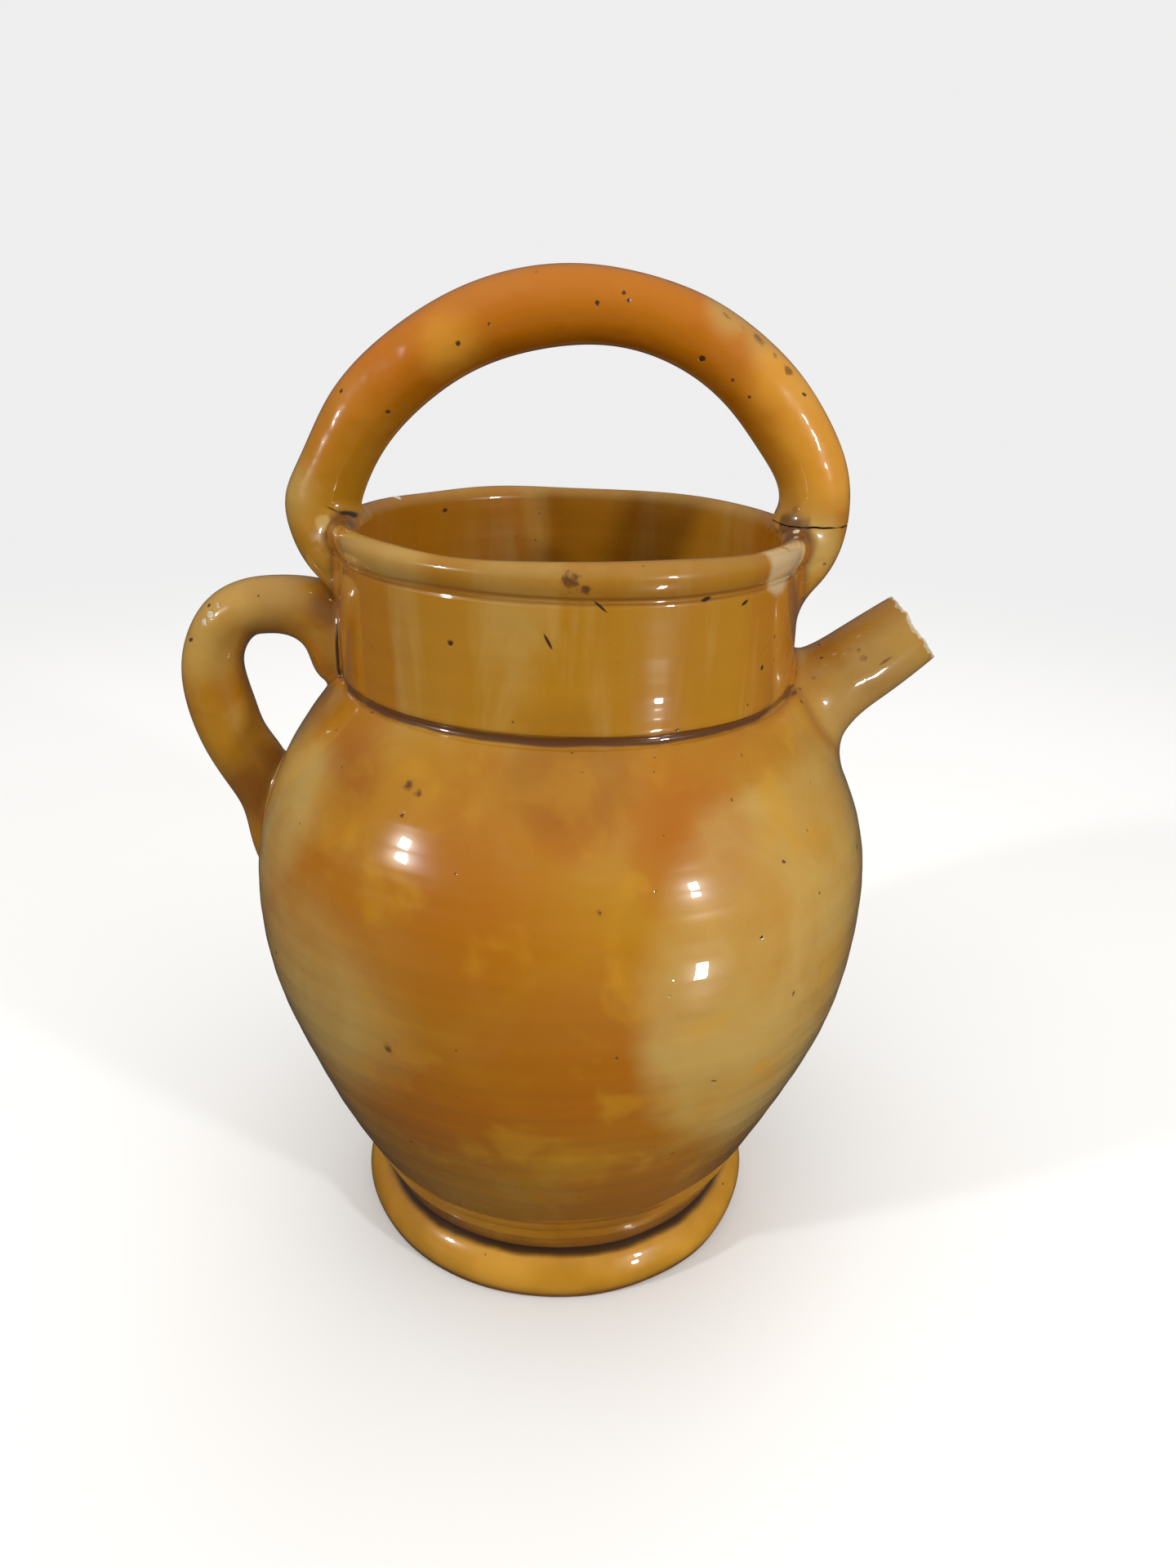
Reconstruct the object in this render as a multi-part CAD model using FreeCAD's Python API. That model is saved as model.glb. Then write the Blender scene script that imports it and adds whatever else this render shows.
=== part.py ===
import FreeCAD, Part
import math
import os

# Glazed earthenware pouring jug, in millimetres.
# The origin is the middle of the flat underside, +Z is up.
# The side handle lies towards -X, the spout towards +X, the basket handle in the XZ plane.

# Heights of the thrown body's parts, stacked up from the underside
foot_height = 14.0
lower_belly_height = 97.0
upper_belly_height = 57.0
neck_height = 42.0
rim_bead_height = 7.2
base_thickness = 8.0

# Outer radii of the thrown body, and how far the shoulder and the foot stand out
neck_radius = 60.8
shoulder_ledge = 1.0
belly_radius = 86.4
waist_radius = 54.2
foot_ledge = 5.8

# Thickness of the clay
belly_wall_thickness = 6.0
neck_wall_thickness = 5.2

# Fullness of the belly below and above its widest place
lower_swell_share = 1.05
upper_swell_share = 1.15
profile_steps = 7

# Foot ring
foot_base_inset = 1.2
foot_edge_round = 1.0
foot_widest_height = 6.5
foot_top_inset = 3.4
foot_groove_drop = 1.3
foot_groove_depth = 0.9
floor_cove = 5.0
floor_crown = 1.2

# Groove at the shoulder
shoulder_groove_height = 3.0
shoulder_groove_depth = 1.0

# How far the rolled bead of the rim stands out from the neck
rim_swell = 1.3

# Basket handle over the mouth
bail_stand_off = 5.0
bail_centre_drop = 13.6
bail_top_thickness = 18.1
bail_end_thickness = 19.2
bail_depth = 19.4
bail_lean = 2.6
bail_seam_rise = 1.0
bail_arc_end_angle = 20.0
bail_arc_sections = 11

# Side handle; its top lies above the shoulder, its lower joint below that top
handle_top_rise = 17.5
handle_span = 84.5
handle_reach = 36.0
handle_thickness = 16.4
handle_width = 18.6
handle_upper_joint_reach = 7.6
handle_lower_joint_drop = 47.5

# Spout, broken off short; its axis leaves the wall a little below the shoulder, and its
# bore ends at a step where the hole pierced through the wall begins
spout_drop = 6.2
spout_rise_angle = 38.5
spout_length = 35.3
spout_wall_radius = 11.9
spout_tip_radius = 10.1
spout_bore_radius = 6.2
spout_bore_step = 4.0
wall_hole_radius = 5.2
spout_collar_radius = 16.2
spout_collar_reach = 18.0
spout_collar_steps = 5
chip_radius = 3.0
chip_bite = 1.1

# Extra length that every cutting solid runs past what it cuts
overrun = 20.0

# Roots of the basket handle, from the arc down into the neck: place outward from the
# neck wall and place above the rim, both as shares of half the end thickness, then the
# lean of the section in degrees, and its thickness and width as shares of the handle's
bail_root_shares = (
    (0.378, -0.008, -8.0, 1.06, 1.04),
    (0.254, -0.513, 15.0, 1.00, 1.18),
    (0.029, -0.909, 42.0, 0.95, 1.36),
    (-0.598, -1.560, 58.0, 0.89, 1.34),
)

# Side handle from the neck to the tip of its tail: drop below the top as a share of the
# span, stand-off from the body as a share of the reach, then thickness and width shares
side_handle_shares = (
    (0.168, -0.201, 1.41, 1.34),
    (0.130, -0.034, 1.46, 1.29),
    (0.038, 0.171, 1.15, 1.12),
    (0.006, 0.534, 0.92, 1.01),
    (0.032, 0.783, 0.92, 0.99),
    (0.151, 0.994, 0.98, 0.99),
    (0.264, 0.889, 1.06, 1.00),
    (0.366, 0.669, 1.10, 1.01),
    (0.471, 0.431, 1.09, 1.01),
    (0.576, 0.178, 1.13, 1.01),
    (0.685, 0.019, 0.97, 0.95),
    (0.820, -0.047, 0.83, 0.80),
    (0.929, -0.064, 0.57, 0.58),
    (1.000, -0.080, 0.35, 0.37),
)

# Chips along the broken edge of the spout: angle round the tip and share of the bite
tip_chip_shares = (
    (15.0, 0.6),
    (62.0, 1.0),
    (118.0, 0.5),
    (171.0, 0.9),
    (214.0, 0.7),
    (263.0, 1.0),
    (322.0, 0.6),
)

belly_height = foot_height + lower_belly_height
shoulder_height = belly_height + upper_belly_height
rim_height = shoulder_height + neck_height
rim_seat_height = rim_height - rim_bead_height
shoulder_radius = neck_radius + shoulder_ledge
foot_radius = waist_radius + foot_ledge
handle_top_height = shoulder_height + handle_top_rise
handle_lower_joint_height = handle_top_height - handle_lower_joint_drop
spout_height = shoulder_height - spout_drop
neck_inner_radius = neck_radius - neck_wall_thickness
waist_inner_radius = waist_radius - belly_wall_thickness
bail_seam_height = rim_height + bail_seam_rise
up = FreeCAD.Vector(0, 0, 1)
along_x = FreeCAD.Vector(1, 0, 0)
along_y = FreeCAD.Vector(0, 1, 0)


def at(radius, height):
    return FreeCAD.Vector(radius, 0, height)


def straight(*points):
    return [Part.makeLine(a, b) for a, b in zip(points, points[1:])]


def arc(start, middle, end):
    return [Part.Arc(start, middle, end).toShape()]


def bend(centre, radius, first, last):
    """An arc in the outline's plane; angles in degrees from outward towards up."""
    points = []
    for angle in (first, (first + last) / 2, last):
        turn = math.radians(angle)
        points.append(at(centre.x + radius * math.cos(turn), centre.z + radius * math.sin(turn)))
    return arc(*points)


def curve(points):
    spline = Part.BSplineCurve()
    spline.interpolate(points)
    return [spline.toShape()]


def turned(edges):
    """A solid of revolution about the body's axis, with its seam away from the handles."""
    outline = Part.Wire(Part.__sortEdges__(edges))
    outline.rotate(at(0, 0), up, 90)
    return Part.Face(outline).revolve(at(0, 0), up, 360)


def swell(height):
    """Outer radius of the belly and neck at a height."""
    if height > shoulder_height:
        return neck_radius
    if height >= belly_height:
        rise = (height - belly_height) / (shoulder_height - belly_height)
        turn = math.cos(math.pi / 2 * rise ** upper_swell_share)
        return shoulder_radius + (belly_radius - shoulder_radius) * turn
    rise = max(0, height - foot_height) / (belly_height - foot_height)
    turn = math.sin(math.pi / 2 * rise ** lower_swell_share)
    return waist_radius + (belly_radius - waist_radius) * turn


def profile_heights():
    """Heights of the points that draw the belly, from the waist to the shoulder."""
    lower = [foot_height + (belly_height - foot_height) * i / profile_steps for i in range(profile_steps)]
    upper = [belly_height + (shoulder_height - belly_height) * i / profile_steps for i in range(profile_steps + 1)]
    return lower + upper


def belly_outer():
    return curve([at(swell(height), height) for height in profile_heights()])


def belly_inner():
    """The inside of the belly, one wall inside the outer face, square to it."""
    step = belly_wall_thickness / 10
    points = [at(waist_inner_radius, foot_height)]
    for height in profile_heights()[1:-2]:
        slope = (swell(height + step) - swell(height - step)) / (2 * step)
        points.append(at(swell(height) - belly_wall_thickness * math.hypot(1, slope), height))
    points.append(at(neck_inner_radius, shoulder_height))
    return curve(points)


def neck_outer():
    """The outside of the neck, with the shoulder groove at its foot."""
    groove_top = at(neck_radius, shoulder_height + shoulder_groove_height)
    groove_floor = at(neck_radius - shoulder_groove_depth, shoulder_height + shoulder_groove_height / 2)
    edges = arc(at(neck_radius, shoulder_height), groove_floor, groove_top)
    return edges + straight(groove_top, at(neck_radius, rim_seat_height))


def make_base_floor():
    edge_radius = waist_inner_radius - floor_cove
    crown = at(0, base_thickness + floor_crown)
    rim = at(edge_radius, base_thickness)
    middle = at(edge_radius / 2, base_thickness + floor_crown * 3 / 4)
    edges = arc(crown, middle, rim)
    edges += straight(rim, at(edge_radius, 0), at(0, 0), crown)
    return turned(edges)


def make_foot_ring():
    inner_radius = waist_inner_radius - floor_cove
    base_radius = foot_radius - foot_base_inset
    widest = at(foot_radius, foot_widest_height)
    shoulder = at(foot_radius - foot_top_inset, foot_height - foot_groove_drop)
    groove = at(waist_radius - foot_groove_depth, foot_height)
    toe = at(base_radius, foot_edge_round)
    sole = at(base_radius - foot_edge_round, 0)
    toe_bend = foot_edge_round * (1 - math.sqrt(2) / 2)
    cove_bend = floor_cove * math.sqrt(2) / 2
    cove_top = at(waist_inner_radius, base_thickness + floor_cove)
    cove_middle = at(inner_radius + cove_bend, base_thickness + floor_cove - cove_bend)
    edges = arc(sole, at(base_radius - toe_bend, toe_bend), toe)
    edges += arc(toe, widest, shoulder)
    edges += straight(shoulder, groove, at(waist_inner_radius, foot_height), cove_top)
    edges += arc(cove_top, cove_middle, at(inner_radius, base_thickness))
    edges += straight(at(inner_radius, base_thickness), at(inner_radius, 0), sole)
    return turned(edges)


def make_belly_wall():
    edges = belly_outer() + belly_inner()
    edges += straight(at(waist_inner_radius, foot_height), at(waist_radius, foot_height))
    edges += straight(at(neck_inner_radius, shoulder_height), at(shoulder_radius, shoulder_height))
    return turned(edges).cut(bore(wall_hole_radius, -overrun))


def make_neck_collar():
    edges = neck_outer()
    edges += straight(at(neck_radius, rim_seat_height), at(neck_inner_radius, rim_seat_height),
                      at(neck_inner_radius, shoulder_height), at(neck_radius, shoulder_height))
    return turned(edges)


def rim_section():
    """Middle and radius of the round that forms the top of the rim."""
    round_radius = (neck_wall_thickness + rim_swell) / 2
    return at(neck_inner_radius + round_radius, rim_height - round_radius), round_radius


def rim_outer():
    """The bead's outer face, from the crease at its seat up to the crest."""
    middle, round_radius = rim_section()
    drop = middle.z - rim_seat_height
    lower_radius = (drop ** 2 + rim_swell ** 2) / (2 * rim_swell)
    lower_middle = at(neck_radius + rim_swell - lower_radius, middle.z)
    start = -math.degrees(math.asin(drop / lower_radius))
    return bend(lower_middle, lower_radius, start, 0) + bend(middle, round_radius, 0, 90)


def make_rim_bead():
    middle, round_radius = rim_section()
    edges = rim_outer() + bend(middle, round_radius, 90, 180)
    edges += straight(at(neck_inner_radius, middle.z), at(neck_inner_radius, rim_seat_height),
                      at(neck_radius, rim_seat_height))
    return turned(edges)


def body_core():
    """The body filled in up to the crest of the rim, to shape what is pressed on to it."""
    edges = belly_outer() + neck_outer() + rim_outer()
    edges += straight(at(shoulder_radius, shoulder_height), at(neck_radius, shoulder_height))
    edges += straight(at(rim_section()[0].x, rim_height), at(0, rim_height),
                      at(0, foot_height), at(waist_radius, foot_height))
    return turned(edges)


def oval(centre, lean, thickness, width):
    """A closed oval across a handle; lean is the turn of its outward axis below +X."""
    outward = FreeCAD.Vector(math.cos(lean), 0, -math.sin(lean))
    points = []
    for i in range(8):
        turn = math.pi / 4 * i
        point = centre + outward * (thickness / 2 * math.cos(turn)) + along_y * (width / 2 * math.sin(turn))
        points.append(point)
    spline = Part.BSplineCurve()
    spline.interpolate(points, PeriodicFlag=True)
    return Part.Wire(spline.toShape())


def bail_root_sections():
    """Sections of the right root, from the arc's end to inside the neck wall."""
    unit = bail_end_thickness / 2
    sections = []
    for outward, rise, lean, thickness, width in bail_root_shares:
        centre = at(neck_radius + unit * outward, rim_height + unit * rise)
        sections.append((centre, math.radians(lean), thickness * bail_end_thickness, width * bail_depth))
    return sections


def mirrored(sections):
    """The same sections on the left side, in the opposite order."""
    result = []
    for centre, lean, thickness, width in reversed(sections):
        result.append((FreeCAD.Vector(-centre.x, 0, centre.z), math.pi - lean, thickness, width))
    return result


def make_bail():
    """The whole basket handle with both roots, before it is cut to the body."""
    radius = neck_radius + bail_stand_off
    centre_height = rim_height - bail_centre_drop
    arc_sections = []
    for i in range(bail_arc_sections):
        share = i / (bail_arc_sections - 1)
        turn = math.radians(bail_arc_end_angle + share * (180 - 2 * bail_arc_end_angle))
        side = math.cos(turn) ** 2
        thickness = bail_top_thickness + (bail_end_thickness - bail_top_thickness) * side
        x = radius * math.cos(turn) + bail_lean * math.sin(turn) ** 2
        centre = at(x, centre_height + radius * math.sin(turn))
        arc_sections.append((centre, -turn, thickness, bail_depth))
    right = bail_root_sections()
    sections = list(reversed(right)) + arc_sections + list(reversed(mirrored(right)))
    wires = [oval(*section) for section in sections]
    return Part.makeLoft(wires, True, False)


def above(height):
    """Half space above a height, as a large block."""
    size = 2 * (belly_radius + handle_reach + overrun)
    return Part.makeBox(size, size, size, FreeCAD.Vector(-size / 2, -size / 2, height))


def split_bail(bail, core):
    arch = bail.common(above(bail_seam_height))
    roots = bail.cut(above(bail_seam_height)).cut(core)
    left = [solid for solid in roots.Solids if solid.CenterOfMass.x < 0]
    right = [solid for solid in roots.Solids if solid.CenterOfMass.x > 0]
    return arch, left, right


def make_side_handle():
    """The pulled side handle with its joints, before it is cut to the body."""
    centres = []
    for drop, stand_off, thickness, width in side_handle_shares:
        height = handle_top_height - drop * handle_span
        centres.append(at(-swell(height) - stand_off * handle_reach, height))
    wires = []
    last = len(centres) - 1
    for i, centre in enumerate(centres):
        run = centres[min(i + 1, last)] - centres[max(i - 1, 0)]
        lean = math.atan2(-run.x, -run.z) + math.pi
        thickness, width = side_handle_shares[i][2:]
        wires.append(oval(centre, lean, thickness * handle_thickness, width * handle_width))
    return Part.makeLoft(wires, True, False)


def split_side_handle(handle, core):
    size = 2 * (belly_radius + handle_reach + overrun)
    upper_face = -neck_radius - handle_upper_joint_reach
    inside = Part.makeBox(size, size, size, FreeCAD.Vector(upper_face, -size / 2, handle_lower_joint_height))
    outside = handle.cut(core)
    lower = outside.cut(above(handle_lower_joint_height))
    upper = outside.common(inside)
    coil = outside.common(above(handle_lower_joint_height)).cut(inside)
    return coil, upper, lower


def spout_axis():
    rise = math.radians(spout_rise_angle)
    direction = FreeCAD.Vector(math.cos(rise), 0, math.sin(rise))
    return at(swell(spout_height), spout_height), direction


def turned_on_spout(points):
    """A solid of revolution about the spout's axis from (distance, radius) points."""
    start, direction = spout_axis()
    across = FreeCAD.Vector(-direction.z, 0, direction.x)
    corners = [start + direction * distance + across * radius for distance, radius in points]
    outline = Part.makePolygon(corners + [corners[0]])
    return Part.Face(outline).revolve(start, direction, 360)


def bore(radius, first):
    """A round hole along the spout's axis, from a distance out from the wall past the tip."""
    start, direction = spout_axis()
    length = spout_length + overrun - first
    return Part.makeCylinder(radius, length, start + direction * first, direction)


def tube_radius(distance):
    return spout_wall_radius + (spout_tip_radius - spout_wall_radius) * distance / spout_length


def spout_blank():
    """The spout's tapered tube without its bore, run into the wall."""
    return turned_on_spout([(-overrun, 0), (-overrun, tube_radius(-overrun)),
                            (spout_length, spout_tip_radius), (spout_length, 0)])


def make_spout_tube(core):
    start, direction = spout_axis()
    across = FreeCAD.Vector(-direction.z, 0, direction.x)
    tube = spout_blank().cut(core).cut(bore(wall_hole_radius, -overrun))
    tube = tube.cut(bore(spout_bore_radius, spout_bore_step))
    for angle, bite in tip_chip_shares:
        turn = math.radians(angle)
        outward = across * math.cos(turn) + along_y * math.sin(turn)
        edge = start + direction * spout_length + outward * spout_tip_radius
        clear = chip_radius - bite * chip_bite / 2
        centre = edge + (direction + outward) * (clear / math.sqrt(2))
        tube = tube.cut(Part.makeSphere(chip_radius, centre))
    return tube


def make_spout_root(core):
    """The collar of clay smoothed round the spout where it meets neck and shoulder."""
    start, direction = spout_axis()
    across = FreeCAD.Vector(-direction.z, 0, direction.x)
    flare = spout_collar_radius - spout_wall_radius
    inmost = -spout_collar_reach / 2
    points = []
    for i in range(spout_collar_steps + 1):
        distance = spout_collar_reach + (inmost - spout_collar_reach) * i / spout_collar_steps
        open_share = (1 - distance / spout_collar_reach) ** 3
        points.append(start + direction * distance + across * (tube_radius(distance) + flare * open_share))
    edges = curve(points)
    edges += straight(points[-1], start + direction * inmost,
                      start + direction * spout_collar_reach, points[0])
    collar = Part.Face(Part.Wire(Part.__sortEdges__(edges))).revolve(start, direction, 360)
    return collar.cut(core).cut(spout_blank())


def save(name, shape):
    solids = shape if isinstance(shape, list) else shape.Solids
    result = solids[0] if len(solids) == 1 else Part.makeCompound(solids)
    result.exportStep("parts/" + name + ".step")
    print(name, "solids", len(solids), "volume", round(result.Volume), "valid", result.isValid())


def main():
    os.makedirs("parts", exist_ok=True)
    core = body_core()
    arch, left_root, right_root = split_bail(make_bail(), core)
    coil, upper_joint, lower_joint = split_side_handle(make_side_handle(), core)
    save("base_floor", make_base_floor())
    save("foot_ring", make_foot_ring())
    save("belly_wall", make_belly_wall())
    save("neck_collar", make_neck_collar())
    save("rim_bead", make_rim_bead())
    save("bail_arch", arch)
    save("bail_root_left", left_root)
    save("bail_root_right", right_root)
    save("side_handle", coil)
    save("side_handle_upper_joint", upper_joint)
    save("side_handle_lower_joint", lower_joint)
    save("spout_tube", make_spout_tube(core))
    save("spout_root", make_spout_root(core))


main()
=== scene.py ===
"""A glazed earthenware pouring jug with a basket handle, a side handle and a broken spout.

Lengths are metres. The jug stands on its foot at the origin and +Z is up. The spout lies
towards +X, the side handle towards -X, and the basket handle spans the mouth along X.
"""
import bmesh
import bpy
import math
import numpy as np
from bpy.props import FloatProperty, FloatVectorProperty, IntProperty, PointerProperty
from mathutils import Matrix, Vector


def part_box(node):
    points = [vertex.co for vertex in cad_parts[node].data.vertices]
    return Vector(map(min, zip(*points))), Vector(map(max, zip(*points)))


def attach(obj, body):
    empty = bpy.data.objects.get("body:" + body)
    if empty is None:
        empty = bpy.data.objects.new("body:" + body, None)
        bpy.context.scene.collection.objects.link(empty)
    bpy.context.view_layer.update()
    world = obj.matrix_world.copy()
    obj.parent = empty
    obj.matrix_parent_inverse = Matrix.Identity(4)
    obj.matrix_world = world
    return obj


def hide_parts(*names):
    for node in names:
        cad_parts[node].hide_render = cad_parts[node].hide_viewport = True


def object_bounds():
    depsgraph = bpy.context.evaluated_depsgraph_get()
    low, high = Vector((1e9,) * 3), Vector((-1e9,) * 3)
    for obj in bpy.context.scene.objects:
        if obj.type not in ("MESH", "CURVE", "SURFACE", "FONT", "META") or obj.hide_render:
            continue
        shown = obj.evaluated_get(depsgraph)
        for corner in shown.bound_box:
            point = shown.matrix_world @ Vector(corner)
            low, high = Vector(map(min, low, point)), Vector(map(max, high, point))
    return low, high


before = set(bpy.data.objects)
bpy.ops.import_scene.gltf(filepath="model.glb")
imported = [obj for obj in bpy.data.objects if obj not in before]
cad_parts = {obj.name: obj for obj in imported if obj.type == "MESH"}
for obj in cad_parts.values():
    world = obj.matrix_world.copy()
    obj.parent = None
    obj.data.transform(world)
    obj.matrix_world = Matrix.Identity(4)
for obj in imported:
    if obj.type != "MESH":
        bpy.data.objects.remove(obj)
cad_low, cad_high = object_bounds()

bl_info = {
    "name": "Glazed pouring jug",
    "version": (1, 0, 0),
    "blender": (4, 5, 0),
    "location": "3D View > Sidebar > Jug",
    "description": "Throws, joins and glazes an earthenware pouring jug",
    "category": "Object",
}

MM = 0.001
TAU = 2 * math.pi
# The spout's rise above level, how deep its collar starts in the wall, and the direction that
# both handles and the spout have across them
SPOUT_RISE = math.radians(38.5)
COLLAR_DEPTH = 9 * MM
ACROSS = np.array((0.0, 1.0, 0.0))


def lowest(node):
    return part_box(node)[0]


def highest(node):
    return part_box(node)[1]


def dots(first, second):
    return (first * second).sum(-1)


def unit(vectors):
    """The vectors with a length of one."""
    return vectors / np.maximum(np.linalg.norm(vectors, axis=-1, keepdims=True), 1e-9)


def radius_of(points):
    """Distance of each place from the jug's middle line."""
    return np.hypot(points[:, 0], points[:, 1])


def length(name, description, default):
    """A length that a user may change, in metres."""
    return FloatProperty(name=name, description=description, default=default, unit="LENGTH", precision=4)


def share(name, description, default):
    return FloatProperty(name=name, description=description, default=default, min=0, max=1, subtype="FACTOR")


def colour(name, description, default):
    return FloatVectorProperty(name=name, description=description, default=default, size=3, min=0, max=1,
                               subtype="COLOR")


class JugBodySizes(bpy.types.PropertyGroup):
    """Sizes of the thrown body."""
    foot_height: length("Foot height", "Height of the foot ring", highest("foot_ring").z)
    foot_radius: length("Foot radius", "Widest radius of the foot ring", highest("foot_ring").y)
    floor_thickness: length("Floor thickness", "Clay under the body at the cove", 8 * MM)
    belly_height: length("Belly height", "Height of the widest place", 111 * MM)
    belly_radius: length("Belly radius", "Radius at the widest place", highest("belly_wall").y)
    shoulder_height: length("Shoulder height", "Height of the groove's lower edge", highest("belly_wall").z)
    shoulder_radius: length("Shoulder radius", "Radius of the ledge at the shoulder", 61.8 * MM)
    waist_radius: length("Waist radius", "Radius where the belly meets the foot", 54.2 * MM)
    neck_radius: length("Neck radius", "Outer radius of the neck", highest("neck_collar").y)
    neck_wall: length("Neck wall", "Thickness of the neck", 5.2 * MM)
    belly_wall: length("Belly wall", "Thickness of the belly", 6 * MM)
    crease_height: length("Crease height", "Height of the crease below the rim", lowest("rim_bead").z)
    rim_height: length("Rim height", "Height of the rim's crest", highest("rim_bead").z)
    rim_radius: length("Rim radius", "Widest radius of the rolled rim", highest("rim_bead").y)
    steps_around: IntProperty(name="Steps around", description="Faces round the body", default=300, min=24)


class JugHandleSizes(bpy.types.PropertyGroup):
    """Sizes of the two pulled handles."""
    bail_radius: length("Basket radius", "Radius of the basket handle's middle line", 65.8 * MM)
    bail_centre: length("Basket centre", "Height of the basket handle's centre", 196.4 * MM)
    bail_top: length("Basket top", "Thickness at the top", 18.1 * MM)
    bail_end: length("Basket end", "Thickness near the roots", 19.2 * MM)
    bail_depth: length("Basket depth", "Depth of the handle from front to back", 19.4 * MM)
    bail_lean: length("Basket lean", "How far the top leans to the spout's side", 2.6 * MM)
    root_set_in: length("Root set in", "How far the spout's side root stands in from even", 1.1 * MM)
    crack_height: length("Crack height", "Height of the crack at the right root", lowest("bail_arch").z)
    crack_gap: length("Crack gap", "Width of the open crack", 0.5 * MM)
    side_top: length("Side handle top", "Height of the side handle's top", 185.5 * MM)
    side_span: length("Side handle span", "Height from its top to the tip of its tail", 84.5 * MM)
    side_reach: length("Side handle reach", "How far its middle line stands off the wall", 36 * MM)
    side_thickness: length("Side handle thickness", "Thickness in the middle", 16.4 * MM)
    side_width: length("Side handle width", "Width in the middle", 18.6 * MM)
    upper_joint: length("Upper joint", "End of the upper joint along X", lowest("side_handle_upper_joint").x)
    lower_joint: length("Lower joint", "Top of the lower joint", highest("side_handle_lower_joint").z)
    steps_around: IntProperty(name="Steps around", description="Faces round a handle", default=72, min=12)


class JugSpoutSizes(bpy.types.PropertyGroup):
    """Sizes of the spout."""
    wall_height: length("Wall height", "Height where the axis leaves the wall", 161.8 * MM)
    tube_length: length("Length", "Length from the wall to the broken end", 35.3 * MM)
    wall_radius: length("Radius at the wall", "Outer radius of the tube at the wall", 11.9 * MM)
    tip_radius: length("Radius at the tip", "Outer radius at the broken end", 10.1 * MM)
    bore_radius: length("Bore radius", "Radius of the hole in the tube", 6.2 * MM)
    bore_step: length("Bore step", "Distance from the wall to the step in the bore", 4 * MM)
    collar_radius: length("Collar radius", "Radius of the smoothed clay at the wall", 16.2 * MM)
    collar_reach: length("Collar reach", "How far the smoothed clay runs up the tube", 18 * MM)
    fracture: length("Fracture depth", "Unevenness of the broken end", 1.3 * MM)
    steps_around: IntProperty(name="Steps around", description="Faces round the spout", default=128, min=12)


class JugFinish(bpy.types.PropertyGroup):
    """Colours of the glaze and the clay."""
    amber: colour("Amber", "Even coat of glaze", (0.40, 0.178, 0.008))
    deep: colour("Deep orange", "Thick glaze", (0.36, 0.106, 0.002))
    pale: colour("Pale olive", "Thin glaze", (0.49, 0.315, 0.085))
    # Dark brown darkens the creases, the lower belly and the inside, and is also the colour of painted shade
    # under the handles, along the joints and in the shade patches; groove brown also darkens the handles'
    # joints as painted crevice shade
    brown: colour("Dark brown", "Glaze pooled in hollows and low on the belly", (0.20, 0.06, 0.006))
    groove: colour("Groove brown", "Glaze in the shoulder groove", (0.085, 0.028, 0.010))
    # Soot darkens specks, cuts and the foot's line, and is also the colour of painted shade in the crevices
    # where the handles meet the jug
    soot_and_crevice_shade: colour("Soot", "Dirt in crevices", (0.020, 0.011, 0.008))
    gold: colour("Gold", "Glaze on the foot ring", (0.56, 0.27, 0.03))
    clay: colour("Bare clay", "Clay where the glaze is chipped", (0.62, 0.50, 0.34))
    wave: share("Waviness", "Strength of the glaze's waviness on the body and spout", 0.35)
    lump: share("Lumpiness", "Strength of the finger marks on the handles", 0.8)


class JugStage(bpy.types.PropertyGroup):
    """Floor, light and camera."""
    floor_colour: colour("Floor", "Colour of the floor", (0.82, 0.81, 0.79))
    floor_bounce: share("Floor bounce", "Share of the floor's colour that the jug receives", 0.15)
    floor_mirrored: share("Mirrored floor", "Share of the floor's colour that the glaze mirrors", 0.05)
    reflected: share("Reflected sky", "Share of the even light that the glaze mirrors", 0.16)
    backdrop: FloatProperty(name="Backdrop", description="Brightness behind the jug", default=0.86, min=0)
    sky: FloatProperty(name="Sky", description="Strength of the even light", default=0.84, min=0)
    window: FloatProperty(name="Windows", description="Power of a window", default=9.0, min=0, unit="POWER")
    focal: FloatProperty(name="Focal length", description="Lens in mm on a 36 mm frame", default=26.25)


# Solid turned shapes: rings of (radius, height), from the bottom outside round to the inside

def ring_list(*runs):
    """Joins runs of (radius, height) rows and drops repeated rows."""
    rows = np.vstack([np.asarray(run, float).reshape(-1, 2) for run in runs])
    keep = np.ones(len(rows), bool)
    keep[1:] = np.linalg.norm(np.diff(rows, axis=0), axis=1) > 0.01 * MM
    return rows[keep]


def line(start, end, steps):
    """Evenly spaced rows from start to end."""
    return np.linspace(start, end, steps + 1)


def arc_through(start, middle, end, steps):
    """Rows along the circle through three places."""
    (ax, ay), (bx, by), (cx, cy) = start, middle, end
    d = 2 * (ax * (by - cy) + bx * (cy - ay) + cx * (ay - by))
    a2, b2, c2 = ax * ax + ay * ay, bx * bx + by * by, cx * cx + cy * cy
    centre = np.array(((a2 * (by - cy) + b2 * (cy - ay) + c2 * (ay - by)) / d,
                       (a2 * (cx - bx) + b2 * (ax - cx) + c2 * (bx - ax)) / d))
    turns = [math.atan2(p[1] - centre[1], p[0] - centre[0]) for p in (start, middle, end)]
    turns = np.unwrap(turns)
    radius = np.hypot(*(np.asarray(start) - centre))
    turn = np.linspace(turns[0], turns[2], steps + 1)
    return np.c_[centre[0] + radius * np.cos(turn), centre[1] + radius * np.sin(turn)]


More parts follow.
